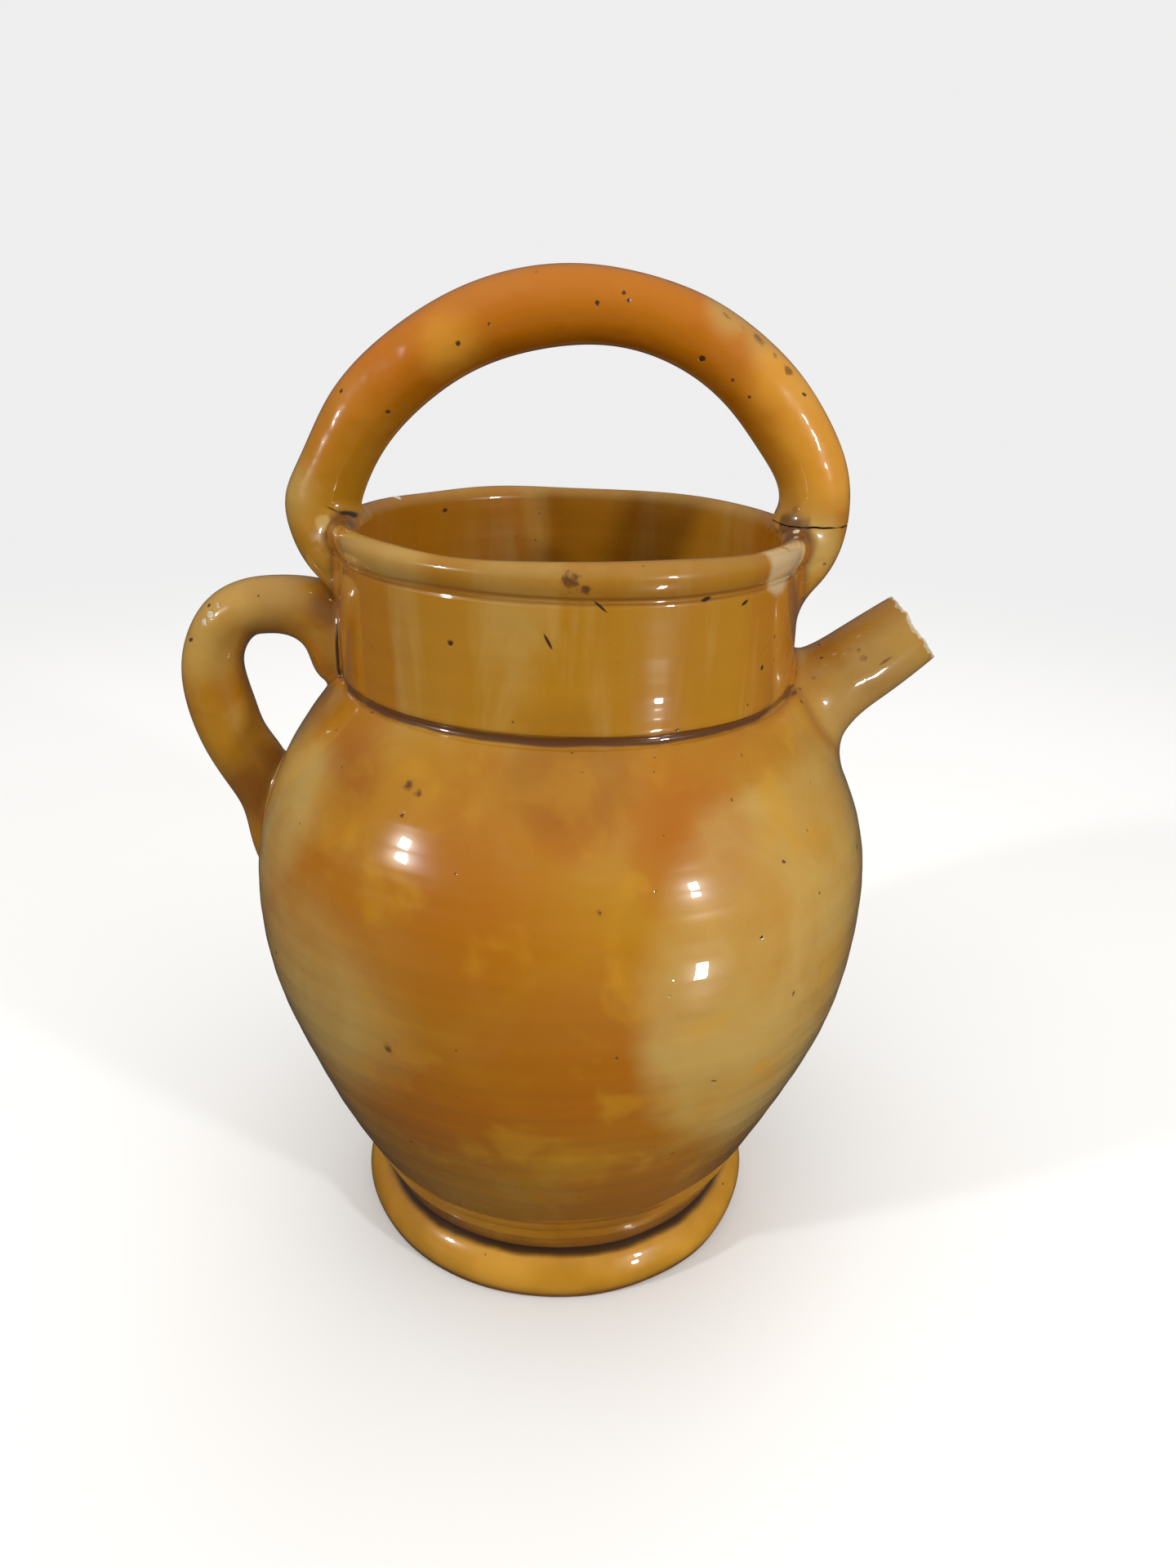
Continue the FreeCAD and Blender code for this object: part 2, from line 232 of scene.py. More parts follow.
def belly_outer_radius(height, body):
    """Outer radius of the belly at a height, fuller above its widest place than below."""
    lower_swell_share, upper_swell_share = 1.05, 1.15
    height = np.asarray(height, float)
    rise = np.clip((height - body.belly_height) / (body.shoulder_height - body.belly_height), 0, 1)
    upper = body.shoulder_radius + (body.belly_radius - body.shoulder_radius) * np.cos(
        math.pi / 2 * rise ** upper_swell_share)
    rise = np.clip((height - body.foot_height) / (body.belly_height - body.foot_height), 0, 1)
    lower = body.waist_radius + (body.belly_radius - body.waist_radius) * np.sin(
        math.pi / 2 * rise ** lower_swell_share)
    belly = np.where(height >= body.belly_height, upper, lower)
    return np.where(height > body.shoulder_height, body.neck_radius, belly)


def natural_spline(knots, rows, places):
    """A smooth curve through the rows at the knots, read at the places."""
    knots, rows = np.asarray(knots, float), np.asarray(rows, float)
    gaps = np.diff(knots)
    count = len(knots)
    system = np.eye(count)
    right = np.zeros((count,) + rows.shape[1:])
    slopes = (np.diff(rows, axis=0).T / gaps).T
    for i in range(1, count - 1):
        system[i, i - 1:i + 2] = gaps[i - 1], 2 * (gaps[i - 1] + gaps[i]), gaps[i]
        right[i] = 6 * (slopes[i] - slopes[i - 1])
    bends = np.linalg.solve(system, right.reshape(count, -1)).reshape(right.shape)
    found = np.clip(np.searchsorted(knots, places, side="right") - 1, 0, count - 2)
    along = places - knots[found]
    gap = gaps[found]
    shape = (-1,) + (1,) * (rows.ndim - 1)
    along, gap = along.reshape(shape), gap.reshape(shape)
    first = slopes[found] - gap * (2 * bends[found] + bends[found + 1]) / 6
    return rows[found] + along * first + along ** 2 * bends[found] / 2 + along ** 3 * (
        bends[found + 1] - bends[found]) / (6 * gap)


def belly_inner_rows(body, steps):
    """The belly's inner face, one wall inside the outer one, from the shoulder down."""
    lower = np.linspace(body.foot_height, body.belly_height, 8)[1:-1]
    upper = np.linspace(body.belly_height, body.shoulder_height, 8)[:-2]
    heights = np.concatenate((lower, upper))
    step = body.belly_wall / 10
    slope = (belly_outer_radius(heights + step, body) - belly_outer_radius(heights - step, body)) / (2 * step)
    radii = belly_outer_radius(heights, body) - body.belly_wall * np.hypot(1, slope)
    heights = np.concatenate(([body.foot_height], heights, [body.shoulder_height]))
    foot_end, neck_end = body.waist_radius - body.belly_wall, body.neck_radius - body.neck_wall
    radii = np.concatenate(([foot_end], radii, [neck_end]))
    places = np.linspace(body.shoulder_height, body.foot_height, steps + 1)
    return np.c_[natural_spline(heights, radii, places), places]


def belly_rows(body):
    outer = np.linspace(body.foot_height, body.shoulder_height, 171)
    outer_rows = np.c_[belly_outer_radius(outer, body), outer]
    inner = belly_inner_rows(body, 72)
    return ring_list(outer_rows, line(outer_rows[-1], inner[0], 4), inner,
                     line(inner[-1], outer_rows[0], 4)[:-1])


def neck_outer_rows(body):
    """The neck's outer face with the shoulder groove and the fine line below the rim."""
    groove_height, groove_depth = 3 * MM, 1 * MM
    line_drop, line_depth, line_width = 1.3 * MM, 0.3 * MM, 0.45 * MM
    groove = np.linspace(0, 1, 13)
    rows = np.c_[body.neck_radius - groove_depth * 4 * groove * (1 - groove),
                 body.shoulder_height + groove_height * groove]
    fine_start = body.crease_height - 3 * line_drop
    middle = np.linspace(rows[-1][1], fine_start, 25)
    fine = np.linspace(fine_start, body.crease_height, 25)
    dip = line_depth * np.exp(-((fine - body.crease_height + line_drop) / line_width) ** 2)
    return ring_list(rows, np.c_[np.full(25, body.neck_radius), middle], np.c_[body.neck_radius - dip, fine])


def neck_rows(body):
    inner_radius = body.neck_radius - body.neck_wall
    outer = neck_outer_rows(body)
    inner = line((inner_radius, body.crease_height), (inner_radius, body.shoulder_height), 30)
    return ring_list(outer, line(outer[-1], inner[0], 4), inner, line(inner[-1], outer[0], 4)[:-1])


def rim_round(body):
    """Middle and radius of the round that forms the rim's top."""
    radius = (body.rim_radius - body.neck_radius + body.neck_wall) / 2
    return body.rim_radius - radius, body.rim_height - radius, radius


def rim_outer_rows(body):
    middle, height, radius = rim_round(body)
    swell = body.rim_radius - body.neck_radius
    drop = height - body.crease_height
    lower_radius = (drop ** 2 + swell ** 2) / (2 * swell)
    turn = np.linspace(-math.asin(drop / lower_radius), 0, 13)
    lower = np.c_[body.rim_radius - lower_radius * (1 - np.cos(turn)), height + lower_radius * np.sin(turn)]
    turn = np.linspace(0, math.pi, 29)
    return ring_list(lower, np.c_[middle + radius * np.cos(turn), height + radius * np.sin(turn)])


def rim_rows(body):
    outer = rim_outer_rows(body)
    inner_radius = body.neck_radius - body.neck_wall
    inner = line(outer[-1], (inner_radius, body.crease_height), 5)
    return ring_list(outer, inner, line(inner[-1], outer[0], 5)[:-1])


def foot_rows(body):
    inset, edge, widest, top_inset = 1.2 * MM, 1 * MM, 6.5 * MM, 3.4 * MM
    groove_drop, groove_depth, cove = 1.3 * MM, 0.9 * MM, 5 * MM
    base = body.foot_radius - inset
    waist_inner = body.waist_radius - body.belly_wall
    toe_bend = edge * (1 - math.sqrt(0.5))
    shoulder = (body.foot_radius - top_inset, body.foot_height - groove_drop)
    groove = (body.waist_radius - groove_depth, body.foot_height)
    cove_bend = cove * (1 - math.sqrt(0.5))
    sole = line((waist_inner - cove, 0), (base - edge, 0), 10)
    toe = arc_through((base - edge, 0), (base - toe_bend, toe_bend), (base, edge), 5)
    bead = arc_through((base, edge), (body.foot_radius, widest), shoulder, 30)
    top = line((waist_inner, body.foot_height), (waist_inner, body.floor_thickness + cove), 2)
    inner = arc_through(top[-1], (waist_inner - cove_bend, body.floor_thickness + cove_bend),
                        (waist_inner - cove, body.floor_thickness), 8)
    close = line(inner[-1], sole[0], 4)[:-1]
    return ring_list(sole, toe, bead, line(shoulder, groove, 5), line(groove, top[0], 3), top, inner, close)


def floor_rows(body):
    crown = 1.2 * MM
    edge = body.waist_radius - body.belly_wall - 5 * MM
    under = line((0, 0), (edge, 0), 12)
    top_radius = np.linspace(edge, 0, 13)
    top = np.c_[top_radius, body.floor_thickness + crown * (1 - (top_radius / edge) ** 2)]
    return ring_list(under, line(under[-1], top[0], 4), top, line(top[-1], under[0], 4)[:-1])


# Node trees

def add(tree, kind, links=None, **settings):
    """Adds a node, sets its properties and gives its inputs values or links."""
    node = tree.nodes.new(kind)
    for name, value in settings.items():
        setattr(node, name, value)
    for key, value in (links or {}).items():
        if isinstance(value, bpy.types.NodeSocket):
            tree.links.new(value, node.inputs[key])
        else:
            node.inputs[key].default_value = value
    return node


def math_node(tree, operation, first, second=0.0):
    return add(tree, "ShaderNodeMath", {0: first, 1: second}, operation=operation).outputs[0]


def times(tree, first, second):
    return math_node(tree, "MULTIPLY", first, second)


def minus(tree, first, second):
    return math_node(tree, "SUBTRACT", first, second)


def vector_math(tree, operation, first, second=(0, 0, 0)):
    return add(tree, "ShaderNodeVectorMath", {0: first, 1: second}, operation=operation).outputs[0]


def length_of(tree, vector):
    return add(tree, "ShaderNodeVectorMath", {0: vector}, operation="LENGTH").outputs["Value"]


def part_of(tree, vector, axis):
    return add(tree, "ShaderNodeSeparateXYZ", {0: vector}).outputs[axis]


def new_tree(name, kind, inputs, outputs):
    """A tree with inputs (label, kind, default if any) and outputs (label, kind), and its input sockets."""
    tree = bpy.data.node_groups.new(name, kind)
    for label, socket_kind, *default in inputs:
        socket = tree.interface.new_socket(label, in_out="INPUT", socket_type="NodeSocket" + socket_kind)
        if default:
            socket.default_value = default[0]
    for label, socket_kind in outputs:
        tree.interface.new_socket(label, in_out="OUTPUT", socket_type="NodeSocket" + socket_kind)
    return tree, add(tree, "NodeGroupInput").outputs


def new_shape_tree(name):
    inputs = (("Geometry", "Geometry"), ("Steps around", "Int"), ("Seam", "Float"), ("Material", "Material"))
    return new_tree(name, "GeometryNodeTree", inputs, (("Geometry", "Geometry"),))


def own_place(tree):
    return add(tree, "GeometryNodeInputPosition").outputs[0]


def skin_grid(tree, given):
    """A grid with one column per step around and one row per point of the given line."""
    counted = add(tree, "GeometryNodeAttributeDomainSize", {"Geometry": given["Geometry"]})
    rows = counted.outputs["Point Count"]
    columns = math_node(tree, "ADD", given["Steps around"], 1.0)
    sizes = {"Size X": 1.0, "Size Y": 1.0, "Vertices X": columns, "Vertices Y": rows}
    grid = add(tree, "GeometryNodeMeshGrid", sizes)
    across, along = (math_node(tree, "ADD", part_of(tree, own_place(tree), axis), 0.5) for axis in (0, 1))
    row = math_node(tree, "ROUND", times(tree, along, minus(tree, rows, 1.0)))
    return grid.outputs["Mesh"], times(tree, across, TAU), row


def sampled(tree, given, value, row):
    return add(tree, "GeometryNodeSampleIndex", {"Geometry": given["Geometry"], "Value": value, "Index": row},
               data_type="FLOAT_VECTOR", domain="POINT").outputs[0]


def finish_shape_tree(tree, given, mesh, position):
    """Moves the grid to its places, closes its seams and ends the tree."""
    steps = (("GeometryNodeSetPosition", {"Position": position}),
             ("GeometryNodeMergeByDistance", {"Distance": given["Seam"]}),
             ("GeometryNodeSetShadeSmooth", {}), ("GeometryNodeRealizeInstances", {}),
             ("GeometryNodeSetMaterial", {"Material": given["Material"]}))
    for kind, links in steps:
        mesh = add(tree, kind, {0: mesh, **links}).outputs[0]
    add(tree, "NodeGroupOutput", {"Geometry": mesh})
    return tree


def turned_clay_tree():
    """Turns a line of (radius, 0, height) points about the Z axis."""
    tree, given = new_shape_tree("Turned clay")
    mesh, turn, row = skin_grid(tree, given)
    point = sampled(tree, given, own_place(tree), row)
    x, y = (times(tree, part_of(tree, point, 0), math_node(tree, wave, turn)) for wave in ("COSINE", "SINE"))
    place = add(tree, "ShaderNodeCombineXYZ", {0: x, 1: y, 2: part_of(tree, point, 2)}).outputs[0]
    return finish_shape_tree(tree, given, mesh, place)


def pulled_clay_tree():
    """Runs an oval along a line whose points hold the oval's two half axes."""
    tree, given = new_shape_tree("Pulled clay")
    mesh, turn, row = skin_grid(tree, given)
    place = sampled(tree, given, own_place(tree), row)
    for name, wave in (("half_thickness", "COSINE"), ("half_width", "SINE")):
        stored = add(tree, "GeometryNodeInputNamedAttribute", {"Name": name}, data_type="FLOAT_VECTOR")
        axis = sampled(tree, given, stored.outputs[0], row)
        step = vector_math(tree, "MULTIPLY", axis, math_node(tree, wave, turn))
        place = vector_math(tree, "ADD", place, step)
    return finish_shape_tree(tree, given, mesh, place)


def shaped_mesh(name, points, tree, steps_around, material, vectors=None):
    """Runs a shape tree on a line of points and returns the plain mesh, faces outward."""
    source = bpy.data.meshes.new(name + "_line")
    source.from_pydata([tuple(p) for p in points], [(i, i + 1) for i in range(len(points) - 1)], [])
    for label, values in (vectors or {}).items():
        set_vectors(source, label, values)
    carrier = bpy.data.objects.new(name + "_line", source)
    bpy.context.scene.collection.objects.link(carrier)
    modifier = carrier.modifiers.new("Shape", "NODES")
    modifier.node_group = tree
    given = {"Steps around": steps_around, "Seam": 0.002 * MM, "Material": material}
    for item in tree.interface.items_tree:
        if item.item_type == "SOCKET" and item.in_out == "INPUT" and item.name in given:
            modifier[item.identifier] = given[item.name]
    found = carrier.evaluated_get(bpy.context.evaluated_depsgraph_get())
    mesh = bpy.data.meshes.new_from_object(found)
    carrier.modifiers.remove(modifier)
    bpy.data.objects.remove(carrier)
    bpy.data.meshes.remove(source)
    if signed_volume(mesh) < 0:
        mesh.flip_normals()
    return mesh


# Mesh helpers

def read(items, name, width=1, kind=float):
    """A value, or a row of values, for each item of a mesh's list."""
    values = np.empty(len(items) * width, kind)
    items.foreach_get(name, values)
    return values.reshape(-1, width) if width > 1 else values


def places_of(mesh):
    return read(mesh.vertices, "co", 3)


def normals_of(mesh):
    return read(mesh.vertex_normals, "vector", 3)


def set_places(mesh, values):
    mesh.vertices.foreach_set("co", values.ravel())
    mesh.update()


def set_vectors(mesh, name, values):
    """Stores one vector per vertex."""
    layer = mesh.attributes.new(name, "FLOAT_VECTOR", "POINT")
    layer.data.foreach_set("vector", values.astype(np.float32).ravel())


def set_amounts(mesh, **amounts):
    """Stores one number per vertex for the materials under each name."""
    for name, values in amounts.items():
        layer = mesh.attributes.new(name, "FLOAT", "POINT")
        layer.data.foreach_set("value", np.asarray(values, np.float32))


def signed_volume(mesh):
    mesh.calc_loop_triangles()
    a, b, c = places_of(mesh)[read(mesh.loop_triangles, "vertices", 3, int)].transpose(1, 0, 2)
    return float(dots(a, np.cross(b, c)).sum() / 6)


def smooth_step(value, low, high):
    t = np.clip((value - low) / (high - low), 0, 1)
    return t * t * (3 - 2 * t)


# How clay surfaces meet: distances to the body and to a pulled or turned stem

def outline_of_body(body):
    """The body's wall as one closed outline, and normals that point out of the clay."""
    outer_heights = np.linspace(body.foot_height, body.shoulder_height, 80)
    outer = np.c_[belly_outer_radius(outer_heights, body), outer_heights]
    inner_radius = body.neck_radius - body.neck_wall
    rows = ring_list(outer, neck_outer_rows(body), rim_outer_rows(body),
                     line((inner_radius, body.crease_height), (inner_radius, body.shoulder_height), 12),
                     belly_inner_rows(body, 30)[1:])
    run = np.gradient(rows, axis=0)
    return rows, unit(np.c_[run[:, 1], -run[:, 0]])


def nearest_on_line(points, rows, stride):
    """The nearest segment of a line of rows to each point, the share along it and the gap."""
    coarse = rows[::stride]
    middle = np.argmin(((points[:, None] - coarse[None]) ** 2).sum(2), axis=1) * stride
    window = np.clip(middle[:, None] + np.arange(-stride, stride), 0, len(rows) - 2)
    start, run = rows[:-1][window], np.diff(rows, axis=0)[window]
    away = points[:, None] - start
    along = np.clip(dots(away, run) / dots(run, run), 0, 1)
    gap = away - along[..., None] * run
    best = np.argmin(dots(gap, gap), axis=1)
    pick = np.arange(len(points))
    return window[pick, best], along[pick, best], gap[pick, best]


def between(values, found, along):
    """Values of a line's rows, read between two rows."""
    share_along = along if values.ndim == 1 else along[:, None]
    return values[found] + (values[found + 1] - values[found]) * share_along


def nearest_on_outline(points, outline):
    """The gap from the outline to each place and the outline's normal there, as (radius, height)."""
    rows, normals = outline
    found, along, gap = nearest_on_line(np.c_[radius_of(points), points[:, 2]], rows, 3)
    return gap, between(normals, found, along)


def body_distance(points, outline):
    """Signed distance of each point from the body's surface; negative in the clay."""
    gap, normal = nearest_on_outline(points, outline)
    size = np.linalg.norm(gap, axis=1)
    return np.where(dots(gap, normal) < 0, -size, size)


def skin_normals(points, normals, outline):
    """Normals of the thrown skin, taken from the outline where a vertex lies on it."""
    gap, normal = nearest_on_outline(points, outline)
    out, up = unit(normal).T
    turned = np.c_[points[:, :2] * (out / radius_of(points))[:, None], up]
    return np.where(np.linalg.norm(gap, axis=1)[:, None] < 0.1 * MM, turned, normals)


class Stem:
    """A handle or spout as a line of ovals: centres, half axes and fillet sizes."""

    def __init__(self, centres, outward, thickness, width, fillet):
        self.centres, self.outward = centres, outward
        self.half_thickness, self.half_width, self.fillet = thickness / 2, width / 2, fillet
        slant = dots(unit(np.gradient(centres, axis=0)), outward)
        self.half_across = self.half_thickness * np.sqrt(1 - slant ** 2)

    def distance(self, points):
        """Signed distance from the stem's surface, and the fillet size at each point."""
        found, along, gap = nearest_on_line(points, self.centres, 12)
        outward, a, b, fillet = (between(values, found, along) for values in
                                 (self.outward, self.half_across, self.half_width, self.fillet))
        past_end = (found == 0) & (along <= 0) | (found == len(self.centres) - 2) & (along >= 1)
        past = np.where(past_end, dots(gap, np.cross(outward, ACROSS)), 0)
        in_oval = np.array((dots(gap, outward) / a, gap[:, 1] / b, past / a))
        size = np.linalg.norm(in_oval, axis=0) + 1e-9
        slope = np.linalg.norm(in_oval / (a, b, a), axis=0) + 1e-9
        return (size - 1) * size / slope, fillet


def joined(points, outline, stem):
    """Distance to body and stem as one skin with a soft fillet between them."""
    a = body_distance(points, outline)
    b, fillet = stem.distance(points)
    overlap = np.clip(fillet - np.abs(a - b), 0, None)
    return np.minimum(a, b) - overlap ** 2 / (4 * fillet), a, b, fillet


def slope_of(points, outline, stem):
    """The direction out of the joined skin."""
    rises = []
    for step in np.eye(3) * 0.05 * MM:
        rises.append(joined(points + step, outline, stem)[0] - joined(points - step, outline, stem)[0])
    return unit(np.array(rises).T)


def blend_joint(points, normals, outline, stem, is_stem, movable=True):
    """Moves movable vertices near a joint on to the joined skin; those past the seam go under it.

    Returns the places, the shading normals and how close each vertex is to the seam."""
    full_below, none_above, deepest, seam_width = 0.5, 1.4, -0.8, 0.35
    on_skin, rounds, sink_share, sink_start, sink_most = 0.3 * MM, 4, 0.8, 0.02 * MM, 2.5 * MM

    def gaps_at(places):
        """Distances to the vertices' own surface and to the other one, and the fillet sizes."""
        _, to_body, to_stem, fillet = joined(places, outline, stem)
        return (to_stem, to_body, fillet) if is_stem else (to_body, to_stem, fillet)

    points, normals = points.copy(), normals.copy()
    seam = np.zeros(len(points))
    reach = 5.1 * stem.fillet.max() + stem.half_width.max()
    in_box = (points > stem.centres.min(0) - reach) & (points < stem.centres.max(0) + reach)
    near = np.where(in_box.all(1) & movable)[0]
    own, other, fillet = gaps_at(points[near])
    chosen = (other < none_above * fillet) & (other > deepest * fillet)
    if not is_stem:
        chosen &= np.abs(own) < on_skin
    near, fillet = near[chosen], fillet[chosen]
    fade = 1 - smooth_step(other[chosen], full_below * fillet, none_above * fillet)
    work = points[near]
    for _ in range(rounds):
        work = work - joined(work, outline, stem)[0][:, None] * slope_of(work, outline, stem)
    own, other, fillet = gaps_at(work)
    direction = slope_of(work, outline, stem)
    past = own - other
    sink = np.clip(past * sink_share - sink_start, 0, sink_most)
    weight = smooth_step(-np.abs(other), -1.5 * fillet, deepest * fillet)[:, None]
    normals[near] = normals[near] * (1 - weight) + direction * weight
    points[near] += (work - direction * sink[:, None] - points[near]) * fade[:, None]
    seam[near] = np.exp(-(past / (seam_width * fillet)) ** 2)
    return points, normals, seam


def tuck_in(points, body, depth):
    """Draws the hidden end of a stem into the middle of the wall."""
    radius = radius_of(points)
    middle = belly_outer_radius(points[:, 2], body) - depth
    full = 1 - smooth_step(points[:, 2], body.rim_height - 4 * MM, body.rim_height + 0.5 * MM)
    wanted = radius + np.clip(middle - radius, 0, None) * full
    moved = points.copy()
    moved[:, :2] *= (wanted / np.maximum(radius, 1 * MM))[:, None]
    return moved


# Unevenness of hand work: waves over the whole jug, turning lines and dents

def clay_waves():
    """Directions, phases and heights of the waves, the same in each run."""
    random = np.random.default_rng(11)
    count = 12
    direction = unit(random.normal(size=(count, 3)))
    wave_length = random.uniform(28, 85, count) * MM
    height = 0.0018 * wave_length
    return direction * (TAU / wave_length)[:, None], random.uniform(0, TAU, count), height


# Each dent: x, y, z, radius and depth in millimetres
DENTS = (
    (37.8, -73.8, 83.3, 7.0, 0.45), (-35.0, -72.0, 136.0, 15.0, 0.4), (20.0, -83.0, 96.0, 18.0, 0.35),
    (-51.0, -8.0, 240.0, 5.0, 0.8), (-47.0, -8.0, 246.0, 4.0, 0.6), (-44.0, -7.0, 249.5, 3.0, 0.5),
    (-98.0, -6.0, 176.0, 6.0, 0.5), (80.0, -8.0, 168.0, 4.5, 0.6), (76.0, -9.0, 175.0, 4.0, -0.3),
    (-20.0, 79.0, 120.0, 20.0, 0.4), (30.0, 76.0, 90.0, 14.0, 0.35), (60.0, 3.0, 222.0, 6.0, 0.4),
)
# Each set of turning lines: pitch and height in millimetres, and turns of twist
TURNING_LINES = ((4.3, 0.012, 1), (9.7, 0.035, -1), (2.3, 0.004, 2))


def unevenness(points, body_share):
    """How far the clay lies in from its ideal surface, and the slope of that depth."""
    waves, phases, heights = clay_waves()
    phase = points @ waves.T + phases
    depth = (np.sin(phase) * heights).sum(1)
    slope = (np.cos(phase) * heights) @ waves
    for x, y, z, radius, dent in DENTS:
        away = points - np.array((x, y, z)) * MM
        falloff = dent * MM * np.exp(-dots(away, away) / (radius * MM) ** 2)
        depth += falloff
        slope += -2 / (radius * MM) ** 2 * falloff[:, None] * away
    around = np.arctan2(points[:, 1], points[:, 0])
    for pitch, height, twist in TURNING_LINES:
        turn = TAU * points[:, 2] / (pitch * MM) + twist * around
        depth += body_share * height * MM * np.sin(turn)
        slope[:, 2] += body_share * height * TAU / pitch * np.cos(turn)
    return depth, slope


def work_by_hand(mesh, normals, body_share=0.0):
    """Gives a finished mesh its unevenness and its shading normals, within the jug's box."""
    points = places_of(mesh)
    depth, slope = unevenness(points, body_share)
    normals = unit(normals + slope - dots(slope, normals)[:, None] * normals)
    edge = 0.02 * MM
    points = np.clip(points - normals * depth[:, None], np.array(cad_low) + edge, np.array(cad_high) - edge)
    set_places(mesh, points)
    set_vectors(mesh, "shade_normal", normals)


def set_shading(mesh):
    """Shades smooth faces by the stored normals and flat faces by their own."""
    layer = mesh.attributes["shade_normal"]
    stored = unit(read(layer.data, "vector", 3, np.float32))[read(mesh.loops, "vertex_index", 1, int)]
    total = read(mesh.polygons, "loop_total", 1, int)
    smooth = np.repeat(read(mesh.polygons, "use_smooth", 1, bool), total)
    flat = np.repeat(read(mesh.polygon_normals, "vector", 3), total, axis=0)
    mesh.attributes.remove(layer)
    mesh.normals_split_custom_set(np.where(smooth[:, None], stored, flat).tolist())


def cut(mesh, planes):
    """A copy of the mesh on the kept side of each (place, direction) plane, closed by flat faces."""
    shape = bmesh.new()
    shape.from_mesh(mesh)
    for place, direction in planes:
        geometry = shape.verts[:] + shape.edges[:] + shape.faces[:]
        result = bmesh.ops.bisect_plane(shape, geom=geometry, dist=1e-7, plane_co=place, plane_no=direction,
                                        clear_inner=True)
        rim = [e for e in result["geom_cut"] if isinstance(e, bmesh.types.BMEdge)]
        for face in bmesh.ops.edgenet_fill(shape, edges=rim)["faces"]:
            face.smooth = False
            if face.normal.dot(direction) > 0:
                face.normal_flip()
    result = bpy.data.meshes.new("Cut piece")
    shape.to_mesh(result)
    shape.free()
    for material in mesh.materials:
        result.materials.append(material)
    return result


def make_piece(name, mesh, nodes):
    """Links the mesh as a piece that rides on the jug and stands for its nodes."""
    set_shading(mesh)
    piece = bpy.data.objects.new(name, mesh)
    mesh.name = name
    bpy.context.scene.collection.objects.link(piece)
    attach(piece, "root")
    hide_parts(*nodes)


# Lines that the handles and the spout follow

# Each row: outward and up from the neck at the rim in half handle thicknesses, lean in degrees,
# shares of the handle's thickness and depth
BAIL_ROOT_SHARES = (
    (0.33, 0.25, -6.0, 1.04, 1.02),
    (0.23, -0.42, 15.0, 1.00, 1.15),
    (0.01, -0.88, 40.0, 0.95, 1.36),
    (-0.598, -1.560, 58.0, 0.89, 1.34),
)
# Each row: share of the span down from the top, share of the reach off the wall, shares of
# thickness and width
SIDE_HANDLE_SHARES = (
    (0.168, -0.201, 1.41, 1.34), (0.130, -0.034, 1.46, 1.29), (0.038, 0.171, 1.15, 1.12),
    (0.006, 0.534, 0.92, 1.01), (0.032, 0.783, 0.92, 0.99), (0.151, 0.994, 0.98, 0.99),
    (0.264, 0.889, 1.06, 1.00), (0.366, 0.669, 1.10, 1.01), (0.471, 0.431, 1.09, 1.01),
    (0.576, 0.178, 1.13, 1.01), (0.685, 0.019, 0.97, 0.95), (0.820, -0.047, 0.83, 0.80),
    (0.929, -0.064, 0.57, 0.58), (1.000, -0.080, 0.35, 0.37),
)
# Fillet sizes in millimetres at shares of the length
BAIL_FILLETS = ((0, 5.0), (0.1, 4.5), (0.5, 3.0), (0.9, 4.5), (1, 5.0))
SIDE_HANDLE_FILLETS = ((0, 2.4), (0.2, 2.4), (0.5, 1.6), (0.75, 1.8), (1, 2.2))


def stem_through(sections, steps, fillets):
    """A stem whose ovals run smoothly through (x, z, lean, thickness, width) rows."""
    rows = np.array(sections, float)
    rows[:, 2] = np.unwrap(rows[:, 2])
    gaps = np.linalg.norm(np.diff(rows[:, :2], axis=0), axis=1)
    knots = np.concatenate(([0], np.cumsum(gaps)))
    places = np.linspace(0, knots[-1], steps)
    x, z, lean, thickness, width = natural_spline(knots, rows, places).T
    level = np.zeros(steps)
    fillet = np.interp(places / places[-1], *np.array(fillets).T) * MM
    return Stem(np.c_[x, level, z], np.c_[np.cos(lean), level, -np.sin(lean)], thickness, width, fillet)


def bail_stem(body, handle):
    arc_end, arc_sections = math.radians(20), 11
    shoulder_swell, shoulder_turn, shoulder_width = 0.018, 0.47, 0.2
    unit_length = handle.bail_end / 2
    roots, arch = [], []
    for outward, rise, lean, thickness, width in BAIL_ROOT_SHARES:
        roots.append((body.neck_radius + unit_length * outward, body.rim_height + unit_length * rise,
                      math.radians(lean), thickness * handle.bail_end, width * handle.bail_depth))
    for turn in np.linspace(arc_end, math.pi - arc_end, arc_sections):
        off_shoulder = (min(turn, math.pi - turn) - shoulder_turn) / shoulder_width
        fuller = 1 + shoulder_swell * math.exp(-off_shoulder ** 2)
        x = handle.bail_radius * math.cos(turn) * fuller + handle.bail_lean * math.sin(turn) ** 2
        z = handle.bail_centre + handle.bail_radius * math.sin(turn)
        thickness = handle.bail_top + (handle.bail_end - handle.bail_top) * math.cos(turn) ** 2
        arch.append((x, z, -turn, thickness, handle.bail_depth))
    right = [(x - handle.root_set_in, *rest) for x, *rest in roots]
    left = [(-x - handle.root_set_in / 2, z, -math.pi - lean, *sizes) for x, z, lean, *sizes in roots]
    return stem_through(right[::-1] + arch + left, 420, BAIL_FILLETS)


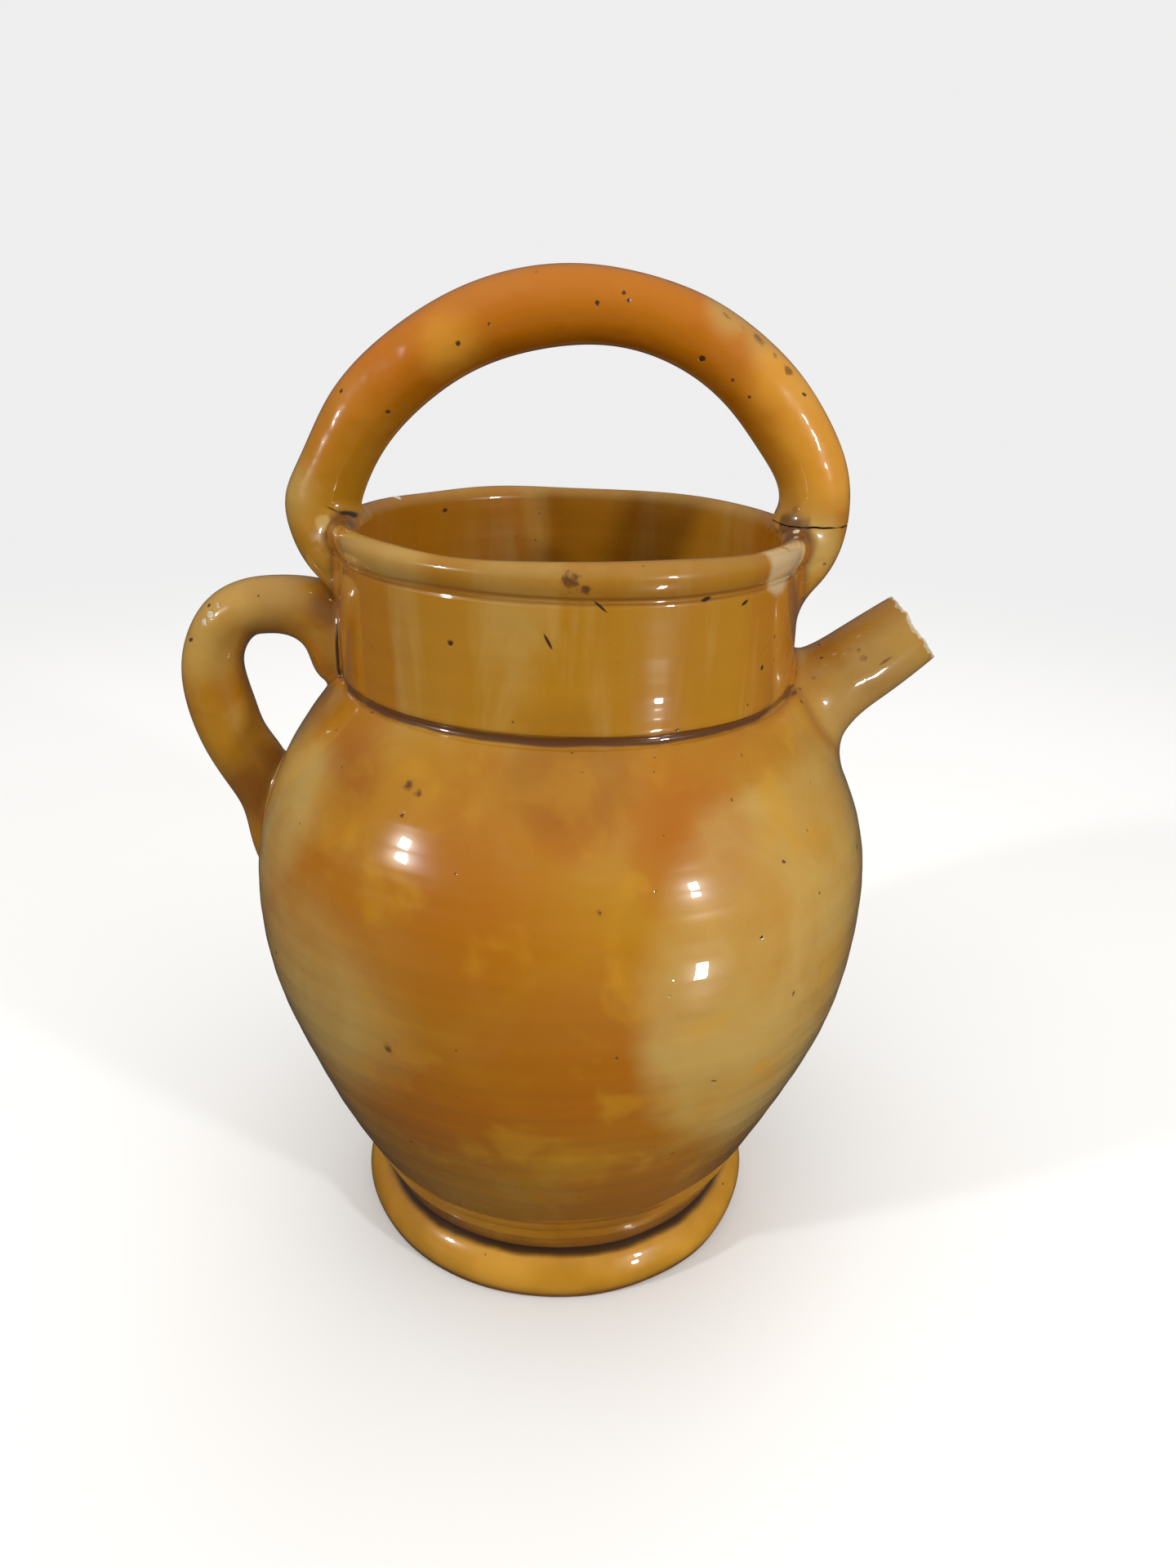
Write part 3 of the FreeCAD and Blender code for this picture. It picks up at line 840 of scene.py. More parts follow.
def side_handle_stem(body, handle):
    centres, rows = [], []
    for drop, stand_off, _, _ in SIDE_HANDLE_SHARES:
        z = handle.side_top - drop * handle.side_span
        centres.append((-float(belly_outer_radius(z, body)) - stand_off * handle.side_reach, z))
    for i, (x, z) in enumerate(centres):
        before, after = centres[max(i - 1, 0)], centres[min(i + 1, len(centres) - 1)]
        lean = math.atan2(before[0] - after[0], before[1] - after[1]) + math.pi
        thickness, width = SIDE_HANDLE_SHARES[i][2:]
        rows.append((x, z, lean, thickness * handle.side_thickness, width * handle.side_width))
    return stem_through(rows, 300, SIDE_HANDLE_FILLETS)


def spout_frame(body, spout):
    start = np.array((float(belly_outer_radius(spout.wall_height, body)), 0.0, spout.wall_height))
    forward = np.array((math.cos(SPOUT_RISE), 0.0, math.sin(SPOUT_RISE)))
    return start, forward


def tube_radius(distance, spout):
    return spout.wall_radius + (spout.tip_radius - spout.wall_radius) * distance / spout.tube_length


def collar_radius(distance, spout):
    flare = np.clip(1 - distance / spout.collar_reach, 0, None) ** 3
    return tube_radius(distance, spout) + (spout.collar_radius - spout.wall_radius) * flare


def spout_stem(body, spout):
    steps, fillet = 90, 5.5 * MM
    start, forward = spout_frame(body, spout)
    distance = np.linspace(-COLLAR_DEPTH, spout.tube_length, steps)
    centres = start + distance[:, None] * forward
    outward = np.tile(np.cross(ACROSS, forward), (steps, 1))
    size = 2 * collar_radius(distance, spout)
    return Stem(centres, outward, size, size, np.full(steps, fillet))


# Colours and finishes

def tinted(base, *factors):
    """A colour times one factor, or times one for each of red, green and blue."""
    return tuple(np.array(base) * factors)


def blended(first, second, second_share=0.5):
    return tuple((1 - second_share) * a + second_share * b for a, b in zip(first, second))


def new_effect(name, inputs, output="Mask", kind="Float"):
    return new_tree(name, "ShaderNodeTree", inputs, ((output, kind),))


def jug_place(tree):
    """The place on the jug, in metres from the middle of its underside."""
    return add(tree, "ShaderNodeTexCoord").outputs["Object"]


def noise(tree, place, scale, detail=2.0, roughness=0.5, warp=0.0):
    links = {"Vector": place, "Scale": scale, "Detail": detail, "Roughness": roughness, "Distortion": warp}
    return add(tree, "ShaderNodeTexNoise", links).outputs["Fac"]


def ramp(tree, value, low, high, out_low=0.0, out_high=1.0):
    links = {"Value": value, "From Min": low, "From Max": high, "To Min": out_low, "To Max": out_high}
    return add(tree, "ShaderNodeMapRange", links, interpolation_type="SMOOTHSTEP").outputs["Result"]


def mix(tree, factor, first, second):
    first, second = (c if isinstance(c, bpy.types.NodeSocket) else (*c, 1.0) for c in (first, second))
    return add(tree, "ShaderNodeMix", {0: factor, 6: first, 7: second}, data_type="RGBA").outputs[2]


def layered(tree, coloured, layers):
    """Lays (mask, share, colour) layers over a colour, the first one lowest."""
    for mask, most, over in layers:
        coloured = mix(tree, times(tree, mask, most), coloured, over)
    return coloured


def either(tree, masks):
    """The strongest of the masks at each place."""
    strongest, *rest = masks
    for mask in rest:
        strongest = math_node(tree, "MAXIMUM", strongest, mask)
    return strongest


def effect(tree, name, **values):
    """Places a shared effect with its own values; returns its output."""
    links = {label.replace("_", " "): value for label, value in values.items()}
    return add(tree, "ShaderNodeGroup", links, node_tree=group(name)).outputs[0]


def make_mottle_effect():
    """Cloudy thick and thin glaze: thick glaze is deep, thin glaze is pale."""
    tree, given = new_effect("Glaze clouds", (
        ("Amber", "Color"), ("Deep", "Color"), ("Pale", "Color"), ("Cloud scale", "Float", 14.0),
        ("Run stretch", "Float", 1.0), ("Deep amount", "Float", 0.7), ("Pale amount", "Float", 0.4)),
        "Color", "Color")
    stretch = add(tree, "ShaderNodeCombineXYZ", {0: 1.0, 1: 1.0, 2: given["Run stretch"]}).outputs[0]
    place = vector_math(tree, "MULTIPLY", jug_place(tree), stretch)
    thick = noise(tree, place, given["Cloud scale"], 4.0, 0.55, 0.4)
    elsewhere = vector_math(tree, "ADD", place, (3.1, 1.7, 0.4))
    thin = noise(tree, elsewhere, times(tree, given["Cloud scale"], 1.6), 5.0, 0.6, 0.6)
    coloured = layered(tree, given["Amber"], (
        (ramp(tree, thick, 0.42, 0.66), given["Deep amount"], given["Deep"]),
        (ramp(tree, thin, 0.46, 0.70), given["Pale amount"], given["Pale"])))
    add(tree, "NodeGroupOutput", {"Color": coloured})
    return tree


def make_speck_effect():
    """Small dark specks and pinholes of uneven size."""
    tree, given = new_effect("Kiln specks", (("Speck scale", "Float", 160.0), ("Speck share", "Float", 0.16)))
    bend, largest = 0.0011, 0.22
    rough = add(tree, "ShaderNodeTexNoise", {"Vector": jug_place(tree), "Scale": 900.0, "Detail": 1.0})
    bent = vector_math(tree, "MULTIPLY", rough.outputs["Color"], (bend, bend, bend))
    place = vector_math(tree, "ADD", jug_place(tree), bent)
    cells = add(tree, "ShaderNodeTexVoronoi", {"Vector": place, "Scale": given["Speck scale"]})
    pick = add(tree, "ShaderNodeSeparateColor", {0: cells.outputs["Color"]}).outputs
    chosen = math_node(tree, "LESS_THAN", pick[0], given["Speck share"])
    edge = minus(tree, times(tree, chosen, times(tree, pick[1], largest)), cells.outputs["Distance"])
    add(tree, "NodeGroupOutput", {"Mask": ramp(tree, edge, 0.0, 0.08)})
    return tree


def make_spot_effect():
    """A patch with a broken edge round one place."""
    tree, given = new_effect("Patch", (
        ("Centre", "Vector", (0, 0, 0)), ("Radius", "Float", 0.004), ("Softness", "Float", 0.001),
        ("Ragged", "Float", 0.002), ("Ragged scale", "Float", 300.0)))
    size = length_of(tree, vector_math(tree, "SUBTRACT", jug_place(tree), given["Centre"]))
    broken = minus(tree, noise(tree, jug_place(tree), given["Ragged scale"], 3.0), 0.5)
    size = math_node(tree, "ADD", size, times(tree, broken, given["Ragged"]))
    half = times(tree, given["Softness"], 0.5)
    inside = ramp(tree, minus(tree, given["Radius"], size), times(tree, half, -1.0), half)
    add(tree, "NodeGroupOutput", {"Mask": inside})
    return tree


def make_band_effect():
    """A level band round the jug between two heights, with an uneven edge."""
    tree, given = new_effect("Level band", (
        ("Low", "Float", 0.0), ("High", "Float", 0.01), ("Softness", "Float", 0.001),
        ("Uneven", "Float", 0.001)))
    wander = times(tree, minus(tree, noise(tree, jug_place(tree), 70.0, 3.0), 0.5), given["Uneven"])
    height = math_node(tree, "ADD", part_of(tree, jug_place(tree), 2), wander)
    gaps = (minus(tree, height, given["Low"]), minus(tree, given["High"], height))
    above, below = (ramp(tree, math_node(tree, "DIVIDE", gap, given["Softness"]), -0.5, 0.5) for gap in gaps)
    add(tree, "NodeGroupOutput", {"Mask": times(tree, above, below)})
    return tree


def make_skin_effect():
    """The glaze's own waviness and fine orange-peel, as a height."""
    tree, given = new_effect("Glaze skin", (
        ("Wave", "Float", 0.5), ("Wave scale", "Float", 60.0), ("Peel", "Float", 0.15)), "Height")
    wide = times(tree, noise(tree, jug_place(tree), given["Wave scale"], 1.0, 0.4), given["Wave"])
    fine = times(tree, noise(tree, jug_place(tree), 420.0), given["Peel"])
    add(tree, "NodeGroupOutput", {"Height": math_node(tree, "ADD", wide, fine)})
    return tree


def amount(tree, name):
    """A number stored on the vertices."""
    return add(tree, "ShaderNodeAttribute", attribute_name=name).outputs["Fac"]


def new_glaze(name):
    """A material with a glossy coat over the glaze's own colour; returns tree and shader."""
    material = bpy.data.materials.new(name)
    material.use_nodes = True
    tree = material.node_tree
    tree.nodes.clear()
    gloss = {"IOR": 1.5, "Specular IOR Level": 0.2, "Coat Roughness": 0.035, "Coat IOR": 1.55}
    shader = add(tree, "ShaderNodeBsdfPrincipled", gloss)
    add(tree, "ShaderNodeOutputMaterial", {0: shader.outputs[0]})
    return material, tree, shader


def finish_glaze(tree, shader, coloured, bare, specks, wave, wave_scale=60.0, depth=0.22 * MM):
    """Sends colour, bare clay, specks and waviness to the shader."""
    finish = bpy.context.scene.jug_finish
    grain = noise(tree, jug_place(tree), 900.0, 3.0)
    clay = mix(tree, ramp(tree, grain, 0.3, 0.7), finish.clay, tinted(finish.clay, 0.72))
    smear = noise(tree, jug_place(tree), 22.0, 4.0, 0.6)
    skin = effect(tree, "Glaze skin", Wave=wave, Wave_scale=wave_scale, Peel=0.006)
    height = minus(tree, skin, times(tree, specks, 0.5))
    height = minus(tree, height, times(tree, bare, ramp(tree, grain, 0.2, 0.8, 0.3, 0.7)))
    bump = add(tree, "ShaderNodeBump", {"Height": height, "Strength": 1.0, "Distance": depth}).outputs[0]
    links = {"Base Color": layered(tree, coloured, ((specks, 0.9, finish.soot_and_crevice_shade), (bare, 1.0, clay))),
             "Roughness": either(tree, (ramp(tree, smear, 0.35, 0.75, 0.22, 0.38), times(tree, bare, 0.85))),
             "Coat Weight": minus(tree, 1.0, bare), "Normal": bump, "Coat Normal": bump}
    for name, value in links.items():
        tree.links.new(value, shader.inputs[name])


def mottled(tree, amber, deep, pale, cloud_scale, deep_amount, pale_amount, run_stretch=1.0):
    return effect(tree, "Glaze clouds", Amber=(*amber, 1), Deep=(*deep, 1), Pale=(*pale, 1),
                  Cloud_scale=cloud_scale, Run_stretch=run_stretch, Deep_amount=deep_amount,
                  Pale_amount=pale_amount)


def patches(tree, rows, ragged_scale=300.0):
    """One mask for a list of (x, y, z, radius, softness, ragged) patches in millimetres."""
    masks = []
    for x, y, z, *sizes in rows:
        radius, softness, ragged = (size * MM for size in sizes)
        masks.append(effect(tree, "Patch", Centre=(x * MM, y * MM, z * MM), Radius=radius, Softness=softness,
                            Ragged=ragged, Ragged_scale=ragged_scale))
    return either(tree, masks)


def nicks(tree, rows):
    """One mask for short slanted marks, both cuts and streaks of painted crevice shade: (x, y, z) of the
    middle, slant in radians, half length and width.
    """
    masks = []
    for x, y, z, slant, half_length, half_width in rows:
        away = vector_math(tree, "SUBTRACT", jug_place(tree), (x * MM, y * MM, z * MM))
        turned = add(tree, "ShaderNodeVectorRotate", {"Vector": away, "Angle": slant}, rotation_type="Y_AXIS")
        stretch = (1 / half_width, 0.2 / half_width, 1 / half_length)
        size = length_of(tree, vector_math(tree, "MULTIPLY", turned.outputs[0], stretch))
        masks.append(ramp(tree, times(tree, size, 1 / MM), 1.3, 0.7))
    return either(tree, masks)


def band(tree, low, high, softness, uneven):
    """A level band between two heights in metres; its edge's softness and unevenness in millimetres."""
    return effect(tree, "Level band", Low=low, High=high, Softness=softness * MM, Uneven=uneven * MM)


WARM_ORANGE, TAN = (0.66, 0.29, 0.025), (0.40, 0.225, 0.065)

# Patches of colour, each x, y, z, radius, softness and raggedness in millimetres
PALE_PATCHES = (
    (95, -75, 112, 77, 12, 24), (-75, -20, 140, 30, 22, 20), (-62, -60, 100, 26, 24, 18),
    (10, 88, 120, 42, 26, 24),
)
DEEP_PATCHES = (
    (-22, -78, 132, 26, 30, 24), (30, -68, 150, 15, 14, 14), (-50, -42, 152, 12, 14, 14),
    (0, -72, 153, 10, 14, 12), (-52, -60, 118, 24, 26, 20), (2, -84, 104, 24, 26, 22),
    (-34, -72, 78, 26, 26, 20), (-40, 70, 100, 32, 30, 22),
)
SHADE_PATCHES = (
    (-51, -50, 154, 10, 12, 9), (1, -65, 163, 14, 10, 8), (-50, -32, 8, 16, 16, 6),
)
BROWN_MARKS = (
    (-36.1, -59.5, 157.6, 1.0, 1.6, 4.4), (-33.5, -61.5, 156.6, 0.7, 1.4, 4.0),
    (0.5, -62, 206.9, 1.6, 1.8, 5.0), (3.5, -62, 205.4, 0.9, 1.4, 4.0), (57.2, -64.7, 107.3, 0.5, 0.8, 2.4),
    (-40.8, -74.8, 95.4, 0.9, 2.0, 4.0), (42.1, -49.6, 163.5, 0.5, 0.6, 2.0),
    (8.6, -80.9, 137.1, 0.4, 0.8, 2.4), (-20, -72, 70, 0.5, 1.4, 3.0), (50.1, -34.4, 188.7, 0.5, 0.5, 1.4),
    (30, -70, 61, 0.5, 1.2, 3.0),
)
RIM_FADED = (
    (-46, -41, 207, 17, 9, 6), (-60, 6, 208, 8, 5, 5),
)
RIM_WEAR = (
    (51, -35, 207.3, 8, 2.5, 5), (56.5, -25, 208, 6, 2.5, 5), (-57, 25, 208, 3.5, 3, 5),
)
RIM_DIRT = (
    (57, -13, 211, 5, 3, 6), (-57, -12, 210.5, 4, 3, 5), (51, -31, 209, 0.8, 2.5, 5),
)
RIM_BARE = (
    (57.5, -10.5, 210.2, 0.9, 0.3, 1.6), (57, -26, 209, 1.2, 0.4, 2.2), (-50, 30, 209.5, 1.2, 0.4, 2.0),
)
HANDLE_PALE = (
    (38, -5, 263, 7, 6, 6), (48, -5, 256, 7, 6, 6), (57, -5, 246, 7, 6, 6), (-74, -8, 216, 8, 10, 9),
    (-84, -4, 190, 14, 12, 9), (-100, -4, 178, 14, 12, 9), (62, -10, 206, 8, 6, 6),
)
HANDLE_WARM = (
    (68, -8, 236, 20, 12, 10), (52, -8, 246, 9, 10, 8), (-30, -10, 250, 8, 10, 8),
)
HANDLE_WORN = (
    (-92.6, -8.6, 186.2, 1.3, 0.3, 3.0), (-94.6, -8.4, 184.2, 1.5, 0.3, 3.2),
    (-96.2, -8.0, 181.9, 1.2, 0.3, 2.8),
)
HANDLE_DIRT = (
    (56, -9, 210.5, 5.0, 3, 6), (54, 8, 211, 4, 3, 5),
)
HANDLE_SHADE = (
    (-62, -9, 187, 5.5, 6, 3), (-80, -5, 142, 6, 7, 4), (-87, -6, 133, 9, 9, 5), (-88, -8, 205, 3, 3, 2),
)
HANDLE_LUMP = (
    (-63, -9.5, 208.6, 2.2, 1.2, 2.4),
)
HANDLE_PINHOLES = (
    (30.8, -8.4, 250.4, 0.85, 0.4, 1.0), (38.5, -8.6, 245.8, 0.6, 0.4, 0.7), (43, -8.7, 242, 0.5, 0.4, 0.6),
    (-60.7, -10, 213.3, 0.5, 0.3, 0.6), (-45.8, -8.4, 235.8, 0.65, 0.5, 1.0),
    (-28.2, -9.4, 252.4, 0.55, 0.4, 0.6), (4.9, -9.7, 262.3, 0.55, 0.4, 0.6),
    (11.2, -9.2, 264.9, 0.6, 0.4, 0.6), (12.4, -9.3, 263.2, 0.45, 0.4, 0.5),
    (-20.7, -9.6, 256.9, 0.45, 0.4, 0.6), (23.6, -8.6, 259, 0.4, 0.4, 0.5),
    (-89.3, -9, 157.8, 0.4, 0.4, 0.8), (-101, -6, 176, 0.5, 0.4, 1.0), (63, 9, 240, 0.6, 0.5, 1.4),
)
HANDLE_SCUFFS = (
    (36.5, -6, 260.8, 0.9, 1.2, 4.0), (40.7, -5.9, 258.3, 0.5, 1.2, 3.6),
    (44.9, -5.7, 255.5, 1.1, 1.4, 4.4), (49, -5.9, 252, 0.6, 1.2, 3.6), (52.5, -6.2, 248.2, 1.1, 1.2, 4.4),
    (57, -6, 242, 0.4, 1.2, 3.6),
)
SPOUT_TAN = (
    (84, -11, 170, 10, 6, 8), (75, -12, 163, 7, 5, 7),
)
SPOUT_SCARS = (
    (79.6, -9.8, 177.2, 1.0, 1.0, 3.4), (75, -9.5, 180, 1.0, 1.4, 3.6), (77.6, -9.7, 179.4, 0.5, 0.8, 2.6),
    (66, -11, 172, 0.6, 0.8, 2.6), (86, -7, 191.5, 1.0, 1.2, 2.4),
)
# Short cuts, and on the handles also streaks of painted crevice shade, each x, y, z, slant in radians, half
# length and half width
NICKS = (
    (6.8, -60.3, 201.3, 0.87, 1.9, 0.3), (-4.4, -60.5, 193.1, 0.5, 1.9, 0.34),
    (30.5, -52.4, 201.8, -1.3, 1.2, 0.55), (40.5, -45.5, 199.5, -1.0, 1.0, 0.4),
    (-30, -75.6, 118, 0.2, 1.2, 0.3), (37.8, -73.8, 88, 1.2, 1.3, 0.25),
)
# A crack and a dark line above the chip, with painted shade in the crevices at the left root, against the
# neck and along the tail
HANDLE_CUTS_AND_CREVICE_SHADE = (
    (-60.3, -10, 211.9, 1.13, 2.3, 0.28), (-55.2, -8, 210.2, 1.3, 4.4, 0.8),
    (-92.4, -9, 188.4, -1.0, 3.6, 0.36), (-60.6, -10, 175.0, 0.0, 9.0, 0.7),
    (-79.5, -8.4, 136, 0.35, 10.0, 0.5),
)
SPOUT_CUTS = (
    (84.5, -10, 176.8, -0.9, 2.4, 0.4),
)


def make_body_glaze():
    finish, body = bpy.context.scene.jug_finish, bpy.context.scene.jug_body
    amber, deep, pale, brown = finish.amber, finish.deep, finish.pale, finish.brown
    foot_top, groove_low, crease = body.foot_height, body.shoulder_height, body.crease_height
    material, tree, shader = new_glaze("Body glaze")
    inside = amount(tree, "inside")
    outside = minus(tree, 1.0, inside)
    neck = band(tree, body.shoulder_height, 1, 6, 3)
    below_neck = minus(tree, 1.0, neck)
    clouds = mottled(tree, amber, deep, pale, 19.0, 0.65, 0.25)
    runs = mottled(tree, amber, deep, pale, 34.0, 0.45, 0.55, 0.14)
    strips = ramp(tree, math_node(tree, "ABSOLUTE", part_of(tree, jug_place(tree), 0)), 46 * MM, 55 * MM)
    cloudy = ramp(tree, noise(tree, jug_place(tree), 26.0, 4.0, 0.6, 0.5), 0.3, 0.62, 0.45, 1.0)
    thin = times(tree, patches(tree, PALE_PATCHES, 30.0), band(tree, -1, 157 * MM, 10, 12))
    bright = ramp(tree, noise(tree, jug_place(tree), 52.0, 3.0, 0.55, 0.3), 0.52, 0.72)
    foot = mix(tree, ramp(tree, noise(tree, jug_place(tree), 40.0, 3.0), 0.3, 0.7), finish.gold, amber)
    foot_line = band(tree, foot_top - 0.9 * MM, foot_top + 1.3 * MM, 0.9, 0.8)
    groove = band(tree, groove_low + 0.3 * MM, groove_low + 2.5 * MM, 0.6, 1.2)
    fine_line = times(tree, band(tree, crease - 1.7 * MM, crease - 1 * MM, 0.6, 0.6), 0.6)
    creases = either(tree, (band(tree, crease - 0.5 * MM, crease + 0.5 * MM, 0.7, 0.6), fine_line))
    rolled = times(tree, band(tree, crease, 1, 2, 1), outside)
    coloured = layered(tree, mix(tree, neck, clouds, runs), (
        (times(tree, strips, neck), 0.65, deep),
        (times(tree, patches(tree, DEEP_PATCHES, 30.0), below_neck), 0.75, deep),
        (times(tree, thin, cloudy), 0.85, pale),
        (times(tree, bright, below_neck), 0.5, tinted(amber, 1.3, 1.4, 1.6)),
        (band(tree, -1, 34 * MM, 62, 16), 0.75, brown),
        (band(tree, -1, foot_top - 0.6 * MM, 1.2, 1), 1.0, foot),
        (patches(tree, SHADE_PATCHES, 60.0), 0.3, brown),
        (band(tree, -1, 2.2 * MM, 2.6, 2), 0.8, brown),
        (times(tree, foot_line, outside), 0.92, finish.soot_and_crevice_shade),
        (times(tree, groove, outside), 0.9, finish.groove),
        (times(tree, creases, outside), 0.7, brown),
        (band(tree, body.rim_height - 2.6 * MM, 1, 3.4, 2.5), 0.3, tinted(pale, 0.7)),
        (rolled, 0.2, brown),
        (inside, 0.35, blended(deep, brown)),
        # Darker along the joints with the handles and the spout: glaze pooled there, and painted shade in the
        # crevices
        (amount(tree, "seam"), 0.35, brown),
        (times(tree, patches(tree, RIM_FADED, 90.0), rolled), 0.5, pale),
        (patches(tree, RIM_WEAR, 160.0), 0.75, blended(finish.clay, pale, 0.45)),
        (patches(tree, RIM_DIRT, 260.0), 0.7, finish.groove),
        (patches(tree, BROWN_MARKS, 600.0), 0.85, finish.groove),
        (nicks(tree, NICKS), 0.95, finish.soot_and_crevice_shade)))
    coarse = effect(tree, "Kiln specks", Speck_scale=190.0, Speck_share=0.07)
    fine = times(tree, effect(tree, "Kiln specks", Speck_scale=430.0, Speck_share=0.05), 0.7)
    bare = patches(tree, RIM_BARE, 900.0)
    finish_glaze(tree, shader, coloured, bare, either(tree, (coarse, fine)), finish.wave)
    return material


def make_handle_glaze():
    finish = bpy.context.scene.jug_finish
    amber, deep, pale = finish.amber, finish.deep, finish.pale
    material, tree, shader = new_glaze("Handle glaze")
    coloured = layered(tree, mottled(tree, amber, deep, pale, 24.0, 0.6, 0.35), (
        (band(tree, 232 * MM, 1, 40, 12), 0.8, tinted(deep, 1.33, 1.26, 0.9)),
        (patches(tree, HANDLE_PALE, 60.0), 0.55, pale),
        (patches(tree, HANDLE_WARM, 60.0), 0.75, WARM_ORANGE),
        # Painted shade: brown on the arch's underside and on the side handle's side that faces the jug
        (amount(tree, "hollow"), 0.1, finish.brown),
        # Darker along the joints: glaze pooled there, and painted shade in the crevices against the rim, the
        # neck and the belly
        (amount(tree, "seam"), 0.6, finish.groove),
        (patches(tree, HANDLE_DIRT, 260.0), 0.75, finish.groove),
        (patches(tree, HANDLE_SCUFFS, 420.0), 0.7, finish.groove),
        (patches(tree, HANDLE_SHADE, 120.0), 0.7, finish.brown),
        (patches(tree, HANDLE_LUMP), 0.8, pale),
        # Soot-dark cracks and marks, with painted shade in the handles' crevices
        (nicks(tree, HANDLE_CUTS_AND_CREVICE_SHADE), 0.95, finish.soot_and_crevice_shade)))
    specks = effect(tree, "Kiln specks", Speck_scale=210.0, Speck_share=0.18)
    specks = either(tree, (specks, patches(tree, HANDLE_PINHOLES, 700.0)))
    bare = patches(tree, HANDLE_WORN, 420.0)
    finish_glaze(tree, shader, coloured, bare, specks, finish.lump, 170.0, 0.42 * MM)
    return material


def make_spout_glaze():
    finish = bpy.context.scene.jug_finish
    amber, pale = finish.amber, finish.pale
    material, tree, shader = new_glaze("Spout glaze")
    coloured = layered(tree, mottled(tree, blended(amber, pale), amber, pale, 60.0, 0.6, 0.4), (
        # Deeper orange on the spout's upward faces and down its bore
        (amount(tree, "hollow"), 0.7, finish.deep),
        # Darker along the joint with the body: glaze pooled there, and painted shade in the crevice
        (amount(tree, "seam"), 0.5, finish.brown),
        (patches(tree, SPOUT_TAN, 150.0), 0.6, TAN),
        (nicks(tree, SPOUT_CUTS), 0.7, finish.groove),
        (patches(tree, SPOUT_SCARS, 420.0), 0.8, finish.groove)))
    specks = effect(tree, "Kiln specks", Speck_scale=320.0, Speck_share=0.12)
    finish_glaze(tree, shader, coloured, amount(tree, "bare"), specks, finish.wave)
    return material


GLAZES = {"Body glaze": make_body_glaze, "Handle glaze": make_handle_glaze, "Spout glaze": make_spout_glaze}
GROUPS = {"Turned clay": turned_clay_tree, "Pulled clay": pulled_clay_tree,
          "Glaze clouds": make_mottle_effect, "Kiln specks": make_speck_effect, "Patch": make_spot_effect,
          "Level band": make_band_effect, "Glaze skin": make_skin_effect}


def glaze(name):
    """The named glaze, made the first time it is asked for."""
    return bpy.data.materials.get(name) or GLAZES[name]()


def group(name):
    """The named node group, made the first time it is asked for."""
    return bpy.data.node_groups.get(name) or GROUPS[name]()


def stems():
    """The two handles and the spout as stems."""
    scene = bpy.context.scene
    body, handles = scene.jug_body, scene.jug_handles
    return {"bail": bail_stem(body, handles), "side": side_handle_stem(body, handles),
            "spout": spout_stem(body, scene.jug_spout)}


class JUG_OT_throw_body(bpy.types.Operator):
    """Throw the foot, floor, belly, neck and rim, and blend them into what is joined on"""
    bl_idname = "jug.throw_body"
    bl_label = "Throw the body"

    def execute(self, context):
        body = context.scene.jug_body
        inside_from, inside_full, rim_top = 2 * MM, 4 * MM, body.rim_height - 3.4 * MM
        calm, turned = 2 * MM, 10 * MM
        material, outline, joints = glaze("Body glaze"), outline_of_body(body), stems()
        pieces = (("Foot", foot_rows, "foot_ring", ()), ("Floor", floor_rows, "base_floor", ()),
                  ("Belly", belly_rows, "belly_wall", ("side", "spout")),
                  ("Neck", neck_rows, "neck_collar", ("bail", "side", "spout")),
                  ("Rim", rim_rows, "rim_bead", ("bail",)))
        for name, rows, node, joined_on in pieces:
            points = [(r, 0.0, z) for r, z in rows(body)]
            mesh = shaped_mesh(name, points, group("Turned clay"), body.steps_around, material)
            places, normals = places_of(mesh), normals_of(mesh)
            if joined_on:
                normals = skin_normals(places, normals, outline)
            depth = belly_outer_radius(places[:, 2], body) - radius_of(places)
            inner = smooth_step(depth, inside_from, inside_full) * (places[:, 2] < rim_top)
            seam, clear = np.zeros(len(places)), np.ones(len(places))
            for joint in joined_on:
                stem = joints[joint]
                clear = np.minimum(clear, smooth_step(stem.distance(places)[0], calm, turned))
                places, normals, close = blend_joint(places, normals, outline, stem, False, inner < 0.5)
                seam = np.maximum(seam, close)
            set_places(mesh, places)
            set_amounts(mesh, inside=inner, seam=seam)
            work_by_hand(mesh, normals, clear)
            make_piece(name, mesh, (node,))
        return {"FINISHED"}


def stem_mesh(name, stem, material, steps_around):
    """The skin of a stem with rounded, closed ends."""
    rounded_rows = 6
    count = len(stem.centres)
    closing = np.minimum(np.arange(count), np.arange(count)[::-1]) / rounded_rows
    round_end = np.sqrt(1 - (1 - np.clip(closing, 0, 1)) ** 2)
    vectors = {"half_thickness": stem.outward * (stem.half_thickness * round_end)[:, None],
               "half_width": ACROSS * (stem.half_width * round_end)[:, None]}
    return shaped_mesh(name, stem.centres, group("Pulled clay"), steps_around, material, vectors)


def join_stem(mesh, stem, body, hollow_towards):
    """Blends a stem's skin into the body and stores its seam amount and its darkened side: the faces turned
    to the given direction, which take painted shade.
    """
    depth_in_wall = 2.6 * MM
    places, normals = places_of(mesh), normals_of(mesh)
    facing = normals @ np.asarray(hollow_towards, float)
    places, normals, seam = blend_joint(places, normals, outline_of_body(body), stem, True)
    set_places(mesh, tuck_in(places, body, depth_in_wall))
    set_amounts(mesh, seam=seam, hollow=smooth_step(facing, 0.2, 1.0))
    work_by_hand(mesh, normals)


